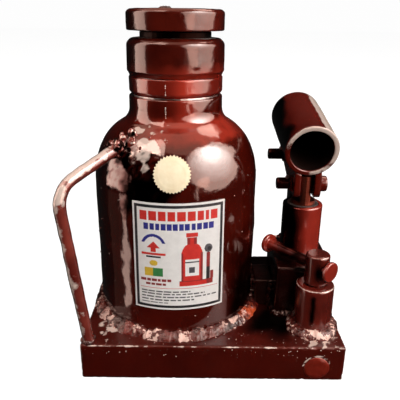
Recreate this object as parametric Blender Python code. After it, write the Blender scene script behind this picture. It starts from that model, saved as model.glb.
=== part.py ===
"""Hydraulic bottle jack, modelled as an assembly. Metres, +Z up, front towards -Y.

The origin is the centre of the base block's underside. The ram axis is left of centre,
the pump stands on the right and the release valve is in front of the pump.
"""

import math

import bmesh
import bpy
from mathutils import Matrix, Vector

MM = 0.001
GAP = 0.3 * MM
SEG_LARGE = 40
SEG_MEDIUM = 24
SEG_SMALL = 14

# Base block
BASE_WIDTH = 224.8 * MM
BASE_DEPTH = 173.0 * MM
BASE_HEIGHT = 33.4 * MM
BASE_EDGE = 2.5 * MM
BASE_TOP = BASE_HEIGHT
BASE_FRONT = -BASE_DEPTH / 2
BASE_RIGHT = BASE_WIDTH / 2
GALLERY_Z = 13.0 * MM
GALLERY_RADIUS = 4.0 * MM
FRONT_PLUG_RADIUS = 10.6 * MM
FRONT_PLUG_DEPTH = 12.0 * MM
SIDE_PLUG_RADIUS = 8.0 * MM
SIDE_PLUG_DEPTH = 10.0 * MM
PLUG_PROUD = 0.6 * MM
PLUG_EDGE = 0.8 * MM
DELIVERY_BORE = 2.3 * MM
RETURN_BORE = 2.8 * MM

# Reservoir and ram, on the ram axis
RAM_X = -34.2 * MM
RAM_Y = 0.0
BODY_RADIUS = 72.6 * MM
BODY_WALL = 5.0 * MM
SHOULDER_Z = 158.0 * MM
SHOULDER_WIDTH = 40.0 * MM
SHOULDER_HEIGHT = 55.0 * MM
SHOULDER_END_ANGLE = math.radians(69)
NECK_RADIUS = 40.3 * MM
NECK_BORE = 36.4 * MM
NECK_FILLET = 12.6 * MM
NECK_TOP = 231.0 * MM
CYLINDER_RADIUS = 36.0 * MM
CYLINDER_BORE = 31.5 * MM
CYLINDER_TOP = 262.0 * MM
RECESS_DEPTH = 5.0 * MM
RECESS_RADIUS = 36.6 * MM
GASKET_THICK = 1.4 * MM
FILLER_Z = 146.0 * MM
FILLER_BORE = 6.0 * MM
CLAMP_RADIUS = 40.1 * MM
CLAMP_BOTTOM = 232.2 * MM
CLAMP_TOP = 247.0 * MM
NUT_RADIUS = 41.3 * MM
NUT_BOTTOM = 247.3 * MM
NUT_TOP = 277.6 * MM
NUT_BORE = 30.4 * MM
WIPER_SEAT = 33.7 * MM
BUSH_LENGTH = 30.0 * MM
GLAND_HEIGHT = 6.0 * MM
RAM_RADIUS = 30.0 * MM
RAM_TOP = 283.0 * MM
RAM_END = 37.0 * MM
PISTON_LOW = 57.0 * MM
PISTON_HIGH = 65.0 * MM
TENON_RADIUS = 14.0 * MM
SADDLE_SOCKET_DEPTH = 16.0 * MM
SADDLE_RADIUS = 41.0 * MM
SADDLE_BOTTOM = 283.3 * MM
SADDLE_TOP = 300.0 * MM

# Label and seal stuck to the front of the reservoir
LABEL_ANGLE = math.radians(4.4)
LABEL_HALF_ANGLE = math.radians(30.2)
LABEL_BOTTOM = 61.0 * MM
LABEL_TOP = 156.5 * MM
LABEL_THICK = 0.8 * MM
SEAL_RADIUS = 14.4 * MM
SEAL_HEIGHT = 179.0 * MM
SEAL_THICK = 1.0 * MM

# Carrying handle, a bent round bar in an upright plane through the ram axis
HANDLE_RADIUS = 4.8 * MM
HANDLE_AZIMUTH = math.radians(228.2)
HANDLE_BEND = 22.0 * MM
HANDLE_FOOT = (107.5 * MM, BASE_TOP + 1.1 * MM)
HANDLE_CORNER = (126.0 * MM, 173.6 * MM)
HANDLE_END = (67.2 * MM, 194.7 * MM)

# Pump, on the pump axis
PUMP_X = 83.0 * MM
PUMP_Y = -2.8 * MM
BLOCK_HALF_WIDTH = 25.5 * MM
BLOCK_FRONT = -37.4 * MM
BLOCK_BACK = 31.0 * MM
BLOCK_TOP = 83.0 * MM
BARREL_RADIUS = 18.2 * MM
BARREL_TOP = 133.2 * MM
SPIGOT_RADIUS = 13.7 * MM
SPIGOT_BOTTOM = 66.0 * MM
PLUNGER_RADIUS = 11.0 * MM
PLUNGER_BORE = 11.3 * MM
PLUNGER_BOTTOM = 71.0 * MM
PLUNGER_SHOULDER = 137.0 * MM
TONGUE_HALF = 4.6 * MM
WIPER_DEPTH = 5.0 * MM
WIPER_OUTER = 14.4 * MM
SUCTION_Z = 48.0 * MM
SUCTION_BORE = 3.0 * MM
SUCTION_SEAT_Z = 56.0 * MM
BRIDGE_TOP = 60.0 * MM
BRIDGE_HALF_WIDTH = 17.0 * MM
BRIDGE_WELD_GAP = 2.2 * MM

# Lever linkage: pin B drives the plunger, pin A hangs on the link, pin C holds the link
PIN_RADIUS = 5.4 * MM
PIN_B = Vector((PUMP_X, PUMP_Y, 151.6 * MM))
PIN_A = Vector((PUMP_X, 42.7 * MM, 167.4 * MM))
PIN_C = Vector((PUMP_X, 44.0 * MM, 71.0 * MM))
PIN_PLAY = 1.5 * MM
WASHER_THICK = 1.6 * MM
EAR_INNER = 6.0 * MM
EAR_OUTER = 11.9 * MM
LINK_HALF = 5.2 * MM
LUG_INNER = 5.8 * MM
LUG_OUTER = 11.4 * MM
SOCKET_RADIUS = 23.5 * MM
SOCKET_BORE = 18.9 * MM
SOCKET_LENGTH = 83.0 * MM
SOCKET_BACK_WALL = 6.0 * MM
SOCKET_TILT = math.radians(12.8)
SOCKET_YAW = math.radians(1.8)
SOCKET_MOUTH = Vector((PUMP_X, -25.0 * MM, 186.8 * MM))

# Release valve, in front of the pump
VALVE_X = 88.9 * MM
VALVE_Y = -54.5 * MM
BOSS_RADIUS = 16.4 * MM
BOSS_TOP = 77.5 * MM
BOSS_BORE = 8.4 * MM
SPINDLE_RADIUS = 10.4 * MM
SPINDLE_BOTTOM = 79.0 * MM
SPINDLE_TOP = 106.0 * MM
STEM_RADIUS = 8.0 * MM
STEM_TIP = 48.5 * MM
VALVE_SEAT_Z = 38.0 * MM
GROOVE_LOW = 62.0 * MM
GROOVE_HIGH = 66.0 * MM
GROOVE_RADIUS = 5.8 * MM
BAR_Z = 94.0 * MM
BAR_RADIUS = 5.0 * MM
BAR_AZIMUTH = math.radians(-51.9)
BAR_BACK = -59.5 * MM
BAR_FRONT = 15.6 * MM
BAR_HEAD_RADIUS = 8.8 * MM
BAR_HEAD_THICK = 3.6 * MM

# Delivery valve, in the pump block
DELIVERY_X = 99.0 * MM
DELIVERY_Y = 19.0 * MM
DELIVERY_SEAT_Z = 58.0 * MM
OUTLET_Z = 64.0 * MM
BALL_RADIUS = 4.0 * MM
SPRING_LOW = 67.0 * MM
SPRING_HIGH = 76.0 * MM
HOLE_REACH = 20.0 * MM

ENAMEL = (0.30, 0.03, 0.02)
STEEL = (0.55, 0.55, 0.56)
RUBBER = (0.03, 0.03, 0.03)
BRONZE = (0.60, 0.42, 0.20)
PAPER = (0.85, 0.84, 0.80)
CREAM = (0.80, 0.76, 0.62)


def clear_scene():
    for item in list(bpy.data.objects):
        bpy.data.objects.remove(item, do_unlink=True)


def make_material(name, color, roughness, metallic):
    material = bpy.data.materials.new(name)
    material.use_nodes = True
    shader = material.node_tree.nodes["Principled BSDF"]
    shader.inputs["Base Color"].default_value = (*color, 1.0)
    shader.inputs["Roughness"].default_value = roughness
    shader.inputs["Metallic"].default_value = metallic
    return material


def add_mesh(name, mesh_builder, color, roughness=0.35, metallic=0.0, smooth=True):
    """Makes an object from a bmesh; its faces are turned outwards."""
    bmesh.ops.remove_doubles(mesh_builder, verts=mesh_builder.verts, dist=1e-7)
    bmesh.ops.recalc_face_normals(mesh_builder, faces=mesh_builder.faces)
    mesh = bpy.data.meshes.new(name)
    mesh_builder.to_mesh(mesh)
    mesh_builder.free()
    if smooth:
        mesh.shade_smooth()
        mesh.set_sharp_from_angle(angle=math.radians(35))
    mesh.materials.append(make_material(name, color, roughness, metallic))
    item = bpy.data.objects.new(name, mesh)
    bpy.context.scene.collection.objects.link(item)
    return item


def spun(profile, segments, closed):
    """Turns (radius, z) points about Z. An open profile starts and ends on the axis."""
    shape = bmesh.new()
    verts = [shape.verts.new((radius, 0.0, z)) for radius, z in profile]
    edges = [shape.edges.new(pair) for pair in zip(verts, verts[1:])]
    if closed:
        edges.append(shape.edges.new((verts[-1], verts[0])))
    bmesh.ops.spin(
        shape,
        geom=verts + edges,
        cent=(0, 0, 0),
        axis=(0, 0, 1),
        angle=2 * math.pi,
        steps=segments,
        use_merge=True,
    )
    bmesh.ops.remove_doubles(shape, verts=shape.verts, dist=1e-7)
    return shape


def turned(name, profile, color, at=(0, 0), segments=SEG_MEDIUM, ring=False, **look):
    """A turned piece about an upright axis through at."""
    item = add_mesh(name, spun(profile, segments, ring), color, **look)
    item.location = (at[0], at[1], 0)
    return item


def turned_along(name, profile, color, start, direction, segments=SEG_SMALL, ring=False, **look):
    """A turned piece whose local Z points along direction, from start."""
    item = add_mesh(name, spun(profile, segments, ring), color, **look)
    item.location = start
    item.rotation_mode = "QUATERNION"
    item.rotation_quaternion = Vector(direction).to_track_quat("Z", "Y")
    return item


def rod_profile(radius, low, high, edge=0.0):
    """A plain cylinder, with chamfered ends where edge is given."""
    if edge:
        return [
            (0, low),
            (radius - edge, low),
            (radius, low + edge),
            (radius, high - edge),
            (radius - edge, high),
            (0, high),
        ]
    return [(0, low), (radius, low), (radius, high), (0, high)]


def ring_profile(inner, outer, low, high, edge=0.0):
    return [
        (inner, low),
        (outer - edge, low),
        (outer, low + edge),
        (outer, high - edge),
        (outer - edge, high),
        (inner, high),
    ] if edge else [(inner, low), (outer, low), (outer, high), (inner, high)]


def arc(center, radius, start, end, steps):
    """Points on an arc in a plane; angles in radians."""
    return [
        (
            center[0] + radius * math.cos(start + (end - start) * i / steps),
            center[1] + radius * math.sin(start + (end - start) * i / steps),
        )
        for i in range(steps + 1)
    ]


def box_mesh(low, high):
    shape = bmesh.new()
    bmesh.ops.create_cube(shape, size=1.0)
    low, high = Vector(low), Vector(high)
    size = high - low
    bmesh.ops.scale(shape, vec=size, verts=shape.verts)
    bmesh.ops.translate(shape, vec=(low + high) / 2, verts=shape.verts)
    return shape


def boxed(name, low, high, color, bevel=0.0, **look):
    item = add_mesh(name, box_mesh(low, high), color, smooth=False, **look)
    if bevel:
        add_bevel(item, bevel)
    return item


def add_bevel(item, width, segments=2):
    bevel = item.modifiers.new("edge", "BEVEL")
    bevel.width = width
    bevel.segments = segments
    bevel.limit_method = "ANGLE"
    bevel.angle_limit = math.radians(40)


def plate_mesh(outline, low_x, high_x):
    """A flat plate: an outline of (y, z) points, extruded along X."""
    shape = bmesh.new()
    face = shape.faces.new([shape.verts.new((low_x, y, z)) for y, z in outline])
    moved = bmesh.ops.extrude_face_region(shape, geom=[face])["geom"]
    moved = [piece for piece in moved if isinstance(piece, bmesh.types.BMVert)]
    bmesh.ops.translate(shape, vec=(high_x - low_x, 0, 0), verts=moved)
    return shape


def cutter(shape, name):
    mesh = bpy.data.meshes.new(name)
    bmesh.ops.recalc_face_normals(shape, faces=shape.faces)
    shape.to_mesh(mesh)
    shape.free()
    item = bpy.data.objects.new(name, mesh)
    bpy.context.scene.collection.objects.link(item)
    item.hide_render = True
    item.display_type = "WIRE"
    return item


def cut(item, tool):
    boolean = item.modifiers.new(tool.name, "BOOLEAN")
    boolean.operation = "DIFFERENCE"
    boolean.solver = "EXACT"
    boolean.object = tool


def drill(item, start, end, radius, segments=12):
    """Cuts a round hole from start to end through item."""
    start, end = Vector(start), Vector(end)
    length = (end - start).length
    tool = cutter(spun(rod_profile(radius, 0, length), segments, False), item.name + ".drill")
    tool.location = start
    tool.rotation_mode = "QUATERNION"
    tool.rotation_quaternion = (end - start).to_track_quat("Z", "Y")
    cut(item, tool)


def drill_x(item, at, half_length, radius, segments=SEG_SMALL):
    """Cuts a hole along X, centred on at."""
    reach = Vector((half_length, 0, 0))
    drill(item, Vector(at) - reach, Vector(at) + reach, radius, segments)


# --- Base ---------------------------------------------------------------------------------


def build_base():
    base = boxed(
        "base_block",
        (-BASE_RIGHT, BASE_FRONT, 0),
        (BASE_RIGHT, -BASE_FRONT, BASE_HEIGHT),
        ENAMEL,
        bevel=BASE_EDGE,
    )
    top = BASE_TOP + MM
    recess_floor = BASE_TOP - RECESS_DEPTH
    drill(base, (RAM_X, RAM_Y, recess_floor), (RAM_X, RAM_Y, top), RECESS_RADIUS, SEG_LARGE)
    drill(base, (RAM_X, PUMP_Y, GALLERY_Z), (RAM_X, PUMP_Y, top), GALLERY_RADIUS)
    drill(base, (DELIVERY_X, PUMP_Y, GALLERY_Z), (DELIVERY_X, PUMP_Y, top), DELIVERY_BORE)
    drill(base, (VALVE_X, VALVE_Y, GALLERY_Z), (VALVE_X, VALVE_Y, top), RETURN_BORE)
    side = (BASE_RIGHT + MM, PUMP_Y, GALLERY_Z)
    drill(base, side, (RAM_X, PUMP_Y, GALLERY_Z), GALLERY_RADIUS)
    drill(base, side, (BASE_RIGHT - SIDE_PLUG_DEPTH, PUMP_Y, GALLERY_Z), SIDE_PLUG_RADIUS + GAP)
    front = (VALVE_X, BASE_FRONT - MM, GALLERY_Z)
    drill(base, front, (VALVE_X, PUMP_Y, GALLERY_Z), RETURN_BORE)
    plug_end = (VALVE_X, BASE_FRONT + FRONT_PLUG_DEPTH, GALLERY_Z)
    drill(base, front, plug_end, FRONT_PLUG_RADIUS + GAP, SEG_SMALL)
    turned_along(
        "base_plug_front",
        rod_profile(FRONT_PLUG_RADIUS, GAP, FRONT_PLUG_DEPTH + PLUG_PROUD, PLUG_EDGE),
        ENAMEL,
        plug_end,
        (0, -1, 0),
    )
    turned_along(
        "base_plug_side",
        rod_profile(SIDE_PLUG_RADIUS, GAP, SIDE_PLUG_DEPTH + PLUG_PROUD, PLUG_EDGE),
        ENAMEL,
        (BASE_RIGHT - SIDE_PLUG_DEPTH, PUMP_Y, GALLERY_Z),
        (1, 0, 0),
    )


# --- Reservoir, neck and carrying handle --------------------------------------------------


def shoulder_point(angle, inset=0.0):
    """A point of the bottle's elliptical shoulder; angle 0 is where it leaves the cylinder."""
    width, height = SHOULDER_WIDTH - inset, SHOULDER_HEIGHT - inset
    center = BODY_RADIUS - SHOULDER_WIDTH
    return (center + width * math.cos(angle), SHOULDER_Z + height * math.sin(angle))


def shoulder(steps, inset=0.0):
    return [shoulder_point(SHOULDER_END_ANGLE * i / steps, inset) for i in range(steps + 1)]


def neck_fillet(steps):
    """The hollow curve from the shoulder's end up to the neck."""
    start = shoulder_point(SHOULDER_END_ANGLE)
    rise = math.atan2(
        SHOULDER_HEIGHT * math.cos(SHOULDER_END_ANGLE),
        SHOULDER_WIDTH * math.sin(SHOULDER_END_ANGLE),
    )
    center = (NECK_RADIUS + NECK_FILLET, start[1] + NECK_FILLET * math.cos(rise))
    return arc(center, NECK_FILLET, 1.5 * math.pi - rise, math.pi, steps)


def build_reservoir():
    bottom = BASE_TOP + GAP
    inner_radius = BODY_RADIUS - BODY_WALL
    outer = [(BODY_RADIUS, bottom), (BODY_RADIUS, SHOULDER_Z * 0.6)] + shoulder(7)
    outer += neck_fillet(3) + [(NECK_RADIUS, NECK_TOP)]
    inner = [point for point in shoulder(4, BODY_WALL) if point[0] > NECK_BORE + 2 * MM]
    inner_top = inner[-1][1]
    inside = [(NECK_BORE, NECK_TOP), (NECK_BORE, inner_top + MM)] + inner[::-1]
    inside += [(inner_radius, bottom)]
    shell = turned("reservoir_shell", outer + inside, ENAMEL, (RAM_X, RAM_Y), SEG_LARGE, ring=True)
    wall_inside = (RAM_X + inner_radius - 2 * MM, PUMP_Y, SUCTION_Z)
    drill(shell, wall_inside, (RAM_X + BODY_RADIUS + 2 * MM, PUMP_Y, SUCTION_Z), SUCTION_BORE)
    build_filler_plug(shell)
    build_reservoir_weld()


def build_filler_plug(shell):
    """A push-in rubber plug in the back of the reservoir; its profile is in millimetres."""
    wall = Vector((RAM_X, RAM_Y + BODY_RADIUS, FILLER_Z))
    through = Vector((0, 2 * BODY_WALL, 0))
    drill(shell, wall - through, wall + through, FILLER_BORE, SEG_SMALL)
    profile = [(0, -7), (5.4, -7), (5.4, 1), (9, 1), (9, 4.5), (7, 6), (0, 6)]
    plug = turned_along("filler_plug", profile, RUBBER, wall, (0, 1, 0), roughness=0.7)
    plug.scale = (MM, MM, MM)


def build_reservoir_weld():
    """The bead round the reservoir's foot; its section is in millimetres from the wall's foot."""
    section = [(0.5, 0.1), (10.5, 0.1), (11.0, 3.5), (8.5, 8.0), (4.0, 11.5), (0.5, 12.0)]
    weld = turned(
        "reservoir_weld",
        [(BODY_RADIUS + r * MM, BASE_TOP + GAP + z * MM) for r, z in section],
        ENAMEL,
        (RAM_X, RAM_Y),
        SEG_LARGE,
        ring=True,
        roughness=0.5,
    )
    past_bead = BODY_RADIUS + 40 * MM
    low = (RAM_X - past_bead, -BASE_DEPTH, 0)
    high = (-BASE_RIGHT + 1.0 * MM, BASE_DEPTH, BODY_RADIUS)
    cut(weld, cutter(box_mesh(low, high), "reservoir_weld.left_edge"))
    low = (RAM_X + BODY_RADIUS + BRIDGE_WELD_GAP - GAP, PUMP_Y - BRIDGE_HALF_WIDTH - GAP, 0)
    high = (RAM_X + past_bead, PUMP_Y + BRIDGE_HALF_WIDTH + GAP, BODY_RADIUS)
    cut(weld, cutter(box_mesh(low, high), "reservoir_weld.bridge"))


def handle_point(reach, z):
    return Vector(
        (
            RAM_X + reach * math.cos(HANDLE_AZIMUTH),
            RAM_Y + reach * math.sin(HANDLE_AZIMUTH),
            z,
        )
    )


def handle_route():
    """Leg, bend and top run of the handle's bar, as (reach, z) points."""
    foot, corner, end = Vector(HANDLE_FOOT), Vector(HANDLE_CORNER), Vector(HANDLE_END)
    up, inward = (corner - foot).normalized(), (end - corner).normalized()
    half_turn = up.angle(inward) / 2
    back = HANDLE_BEND * math.tan(half_turn)
    bend_start, bend_end = corner - up * back, corner + inward * back
    side = Vector((-up.y, up.x))
    center = bend_start + side * HANDLE_BEND
    points = [foot]
    steps = 7
    for i in range(steps + 1):
        turn = 2 * half_turn * i / steps
        points.append(
            center - side * HANDLE_BEND * math.cos(turn) + up * HANDLE_BEND * math.sin(turn)
        )
    points.append(end)
    return [handle_point(point.x, point.y) for point in points]


def build_handle():
    route = handle_route()
    curve = bpy.data.curves.new("carry_handle", "CURVE")
    curve.dimensions = "3D"
    curve.bevel_depth = HANDLE_RADIUS
    curve.bevel_resolution = 3
    curve.use_fill_caps = True
    spline = curve.splines.new("POLY")
    spline.points.add(len(route) - 1)
    for point, place in zip(spline.points, route):
        point.co = (*place, 1.0)
    curve.materials.append(make_material("carry_handle", ENAMEL, 0.35, 0.0))
    item = bpy.data.objects.new("carry_handle", curve)
    bpy.context.scene.collection.objects.link(item)
    return item


def build_label():
    low_radius, high_radius = BODY_RADIUS + GAP, BODY_RADIUS + GAP + LABEL_THICK
    shape = bmesh.new()
    corners = [
        (low_radius, LABEL_BOTTOM),
        (high_radius, LABEL_BOTTOM),
        (high_radius, LABEL_TOP),
        (low_radius, LABEL_TOP),
    ]
    steps = 14
    rings = []
    for i in range(steps + 1):
        turn = LABEL_ANGLE + LABEL_HALF_ANGLE * (2 * i / steps - 1)
        place = [(r * math.sin(turn), -r * math.cos(turn), z) for r, z in corners]
        rings.append([shape.verts.new(point) for point in place])
    for first, second in zip(rings, rings[1:]):
        for i in range(4):
            j = (i + 1) % 4
            shape.faces.new((first[i], first[j], second[j], second[i]))
    shape.faces.new(rings[0])
    shape.faces.new(rings[-1])
    label = add_mesh("label_sheet", shape, PAPER, roughness=0.5)
    label.location = (RAM_X, RAM_Y, 0)
    height = SEAL_HEIGHT
    slope = math.asin((height - SHOULDER_Z) / SHOULDER_HEIGHT)
    radius = BODY_RADIUS - SHOULDER_WIDTH * (1 - math.cos(slope))
    normal = Vector((0, -math.cos(slope) / SHOULDER_WIDTH, math.sin(slope) / SHOULDER_HEIGHT))
    seal = Vector((RAM_X, RAM_Y - radius, height)) + normal.normalized() * 2.0 * MM
    turned_along(
        "round_seal",
        rod_profile(SEAL_RADIUS, 0, SEAL_THICK),
        CREAM,
        seal,
        normal,
        segments=24,
        roughness=0.6,
    )


# --- Ram and top nuts ---------------------------------------------------------------------


def build_ram_cylinder():
    at = (RAM_X, RAM_Y)
    floor = BASE_TOP - RECESS_DEPTH
    turned(
        "cylinder_gasket",
        ring_profile(CYLINDER_BORE, CYLINDER_RADIUS, floor + GAP, floor + GAP + GASKET_THICK),
        (0.5, 0.25, 0.12),
        at,
        ring=True,
        metallic=1.0,
    )
    turned(
        "ram_cylinder",
        ring_profile(
            CYLINDER_BORE, CYLINDER_RADIUS, floor + 2 * GAP + GASKET_THICK, CYLINDER_TOP
        ),
        STEEL,
        at,
        SEG_LARGE,
        ring=True,
        metallic=1.0,
    )
    lower_edge = 2.5 * MM
    turned(
        "clamp_ring",
        [
            (CYLINDER_RADIUS + GAP, CLAMP_BOTTOM),
            (CLAMP_RADIUS - lower_edge, CLAMP_BOTTOM),
            (CLAMP_RADIUS, CLAMP_BOTTOM + lower_edge),
            (CLAMP_RADIUS, CLAMP_TOP - 0.8 * MM),
            (CLAMP_RADIUS - 0.8 * MM, CLAMP_TOP),
            (CYLINDER_RADIUS + GAP, CLAMP_TOP),
        ],
        ENAMEL,
        at,
        SEG_LARGE,
        ring=True,
    )
    inner = CYLINDER_RADIUS + GAP
    turned(
        "top_nut",
        [
            (inner, NUT_BOTTOM),
            (NUT_RADIUS - 2.2 * MM, NUT_BOTTOM),
            (NUT_RADIUS - 0.8 * MM, NUT_BOTTOM + 3.2 * MM),
            (NUT_RADIUS, NUT_BOTTOM + 4.2 * MM),
            (NUT_RADIUS, NUT_TOP - 4.0 * MM),
            (NUT_RADIUS - 1.0 * MM, NUT_TOP - 2.0 * MM),
            (NUT_RADIUS - 4.0 * MM, NUT_TOP),
            (WIPER_SEAT, NUT_TOP),
            (WIPER_SEAT, NUT_TOP - 3.4 * MM),
            (NUT_BORE, NUT_TOP - 3.4 * MM),
            (NUT_BORE, CYLINDER_TOP + GAP),
            (inner, CYLINDER_TOP + GAP),
        ],
        ENAMEL,
        at,
        SEG_LARGE,
        ring=True,
    )
    turned(
        "wiper_ring",
        ring_profile(RAM_RADIUS + GAP, WIPER_SEAT - GAP, NUT_TOP - 3.1 * MM, NUT_TOP + 0.2 * MM),
        RUBBER,
        at,
        ring=True,
        roughness=0.7,
    )
    bush_top = CYLINDER_TOP - GLAND_HEIGHT
    turned(
        "guide_bush",
        ring_profile(RAM_RADIUS + GAP, CYLINDER_BORE - GAP, bush_top - BUSH_LENGTH, bush_top),
        BRONZE,
        at,
        ring=True,
        metallic=1.0,
    )
    turned(
        "gland_seal",
        ring_profile(
            RAM_RADIUS + GAP, CYLINDER_BORE - GAP, bush_top + GAP, CYLINDER_TOP - GAP
        ),
        RUBBER,
        at,
        ring=True,
        roughness=0.7,
    )


def build_ram():
    at = (RAM_X, RAM_Y)
    neck = TENON_RADIUS
    recess = SADDLE_SOCKET_DEPTH
    turned(
        "ram",
        [
            (0, RAM_END),
            (neck, RAM_END),
            (neck, PISTON_LOW),
            (CYLINDER_BORE - GAP, PISTON_LOW),
            (CYLINDER_BORE - GAP, PISTON_HIGH),
            (RAM_RADIUS, PISTON_HIGH + MM),
            (RAM_RADIUS, RAM_TOP - MM),
            (RAM_RADIUS - MM, RAM_TOP),
            (neck, RAM_TOP),
            (neck, RAM_TOP - recess),
            (0, RAM_TOP - recess),
        ],
        STEEL,
        at,
        SEG_LARGE,
        metallic=1.0,
    )
    seal_outer = CYLINDER_BORE - GAP
    stack = (
        ("piston_backup_ring", 3.5 * MM, BRONZE, 1.0),
        ("piston_cup_seal", 9.5 * MM, RUBBER, 0.0),
        ("piston_washer", 3.1 * MM, STEEL, 1.0),
    )
    high = PISTON_LOW
    for name, height, color, metallic in stack:
        high -= GAP
        profile = ring_profile(neck + GAP, seal_outer, high - height, high)
        turned(name, profile, color, at, ring=True, metallic=metallic)
        high -= height
    high -= GAP
    low = high - 8.2 * MM
    nut = turned(
        "piston_nut",
        rod_profile(22 * MM, low, high, 1.0 * MM),
        STEEL,
        at,
        segments=6,
        metallic=1.0,
        smooth=False,
    )
    drill(nut, (*at, low - MM), (*at, high + MM), neck + GAP, SEG_MEDIUM)
    turned(
        "saddle",
        [
            (0, RAM_TOP - recess + GAP),
            (neck - GAP, RAM_TOP - recess + GAP),
            (neck - GAP, SADDLE_BOTTOM),
            (SADDLE_RADIUS - MM, SADDLE_BOTTOM),
            (SADDLE_RADIUS, SADDLE_BOTTOM + MM),
            (SADDLE_RADIUS, SADDLE_TOP - 3.0 * MM),
            (SADDLE_RADIUS - 1.2 * MM, SADDLE_TOP - 0.9 * MM),
            (SADDLE_RADIUS - 4.0 * MM, SADDLE_TOP),
            (0, SADDLE_TOP),
        ],
        ENAMEL,
        at,
        SEG_LARGE,
    )


# --- Pump -----------------------------------------------------------------------------------


def build_pump_block():
    bottom = BASE_TOP + GAP
    block = boxed(
        "pump_block",
        (PUMP_X - BLOCK_HALF_WIDTH, BLOCK_FRONT, bottom),
        (PUMP_X + BLOCK_HALF_WIDTH, BLOCK_BACK, BLOCK_TOP),
        ENAMEL,
        bevel=2.0 * MM,
    )
    over = BLOCK_TOP + MM
    suction = (PUMP_X, PUMP_Y, SUCTION_Z)
    chamber_low = (PUMP_X, PUMP_Y, SUCTION_SEAT_Z)
    drill(block, (PUMP_X, PUMP_Y, SPIGOT_BOTTOM - GAP), (PUMP_X, PUMP_Y, over), 14 * MM, SEG_MEDIUM)
    drill(block, chamber_low, (PUMP_X, PUMP_Y, SPIGOT_BOTTOM + MM), 9 * MM, SEG_SMALL)
    drill(block, suction, (PUMP_X, PUMP_Y, SUCTION_SEAT_Z + MM), 2.6 * MM)
    drill(block, (PUMP_X - BLOCK_HALF_WIDTH - MM, PUMP_Y, SUCTION_Z), suction, SUCTION_BORE)
    drill(block, (VALVE_X, BLOCK_FRONT - MM, SUCTION_Z), suction, 2.4 * MM)
    delivery_seat = (DELIVERY_X, DELIVERY_Y, DELIVERY_SEAT_Z)
    drill(block, delivery_seat, (DELIVERY_X, DELIVERY_Y, over), BALL_RADIUS + MM, SEG_SMALL)
    below = (DELIVERY_X, DELIVERY_Y, DELIVERY_SEAT_Z - 7 * MM)
    drill(block, below, (DELIVERY_X, DELIVERY_Y, DELIVERY_SEAT_Z + MM), 2.4 * MM)
    drill(block, (PUMP_X, PUMP_Y, SUCTION_SEAT_Z + 4 * MM), below, 2.0 * MM)
    outlet = (DELIVERY_X, PUMP_Y, OUTLET_Z)
    drill(block, (DELIVERY_X, DELIVERY_Y, OUTLET_Z), outlet, 1.8 * MM)
    drill(block, (DELIVERY_X, PUMP_Y, bottom - MM), (DELIVERY_X, PUMP_Y, over), DELIVERY_BORE)
    bridge = boxed(
        "suction_bridge",
        (RAM_X + BODY_RADIUS + BRIDGE_WELD_GAP, PUMP_Y - BRIDGE_HALF_WIDTH, bottom),
        (PUMP_X - BLOCK_HALF_WIDTH - GAP, PUMP_Y + BRIDGE_HALF_WIDTH, BRIDGE_TOP),
        ENAMEL,
    )
    drill(
        bridge,
        (RAM_X + BODY_RADIUS - MM, PUMP_Y, SUCTION_Z),
        suction,
        SUCTION_BORE,
    )
    tool = spun(rod_profile(BODY_RADIUS + GAP, 0, BLOCK_TOP), SEG_LARGE, False)
    bmesh.ops.translate(tool, vec=(RAM_X, RAM_Y, 0), verts=tool.verts)
    cut(bridge, cutter(tool, "suction_bridge.body"))
    length = 15 * MM
    turned_along(
        "suction_strainer",
        ring_profile(2.0 * MM, 2.7 * MM, 0, length),
        BRONZE,
        (RAM_X + BODY_RADIUS - BODY_WALL + MM - length, PUMP_Y, SUCTION_Z),
        (1, 0, 0),
        ring=True,
        metallic=1.0,
    )


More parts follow.
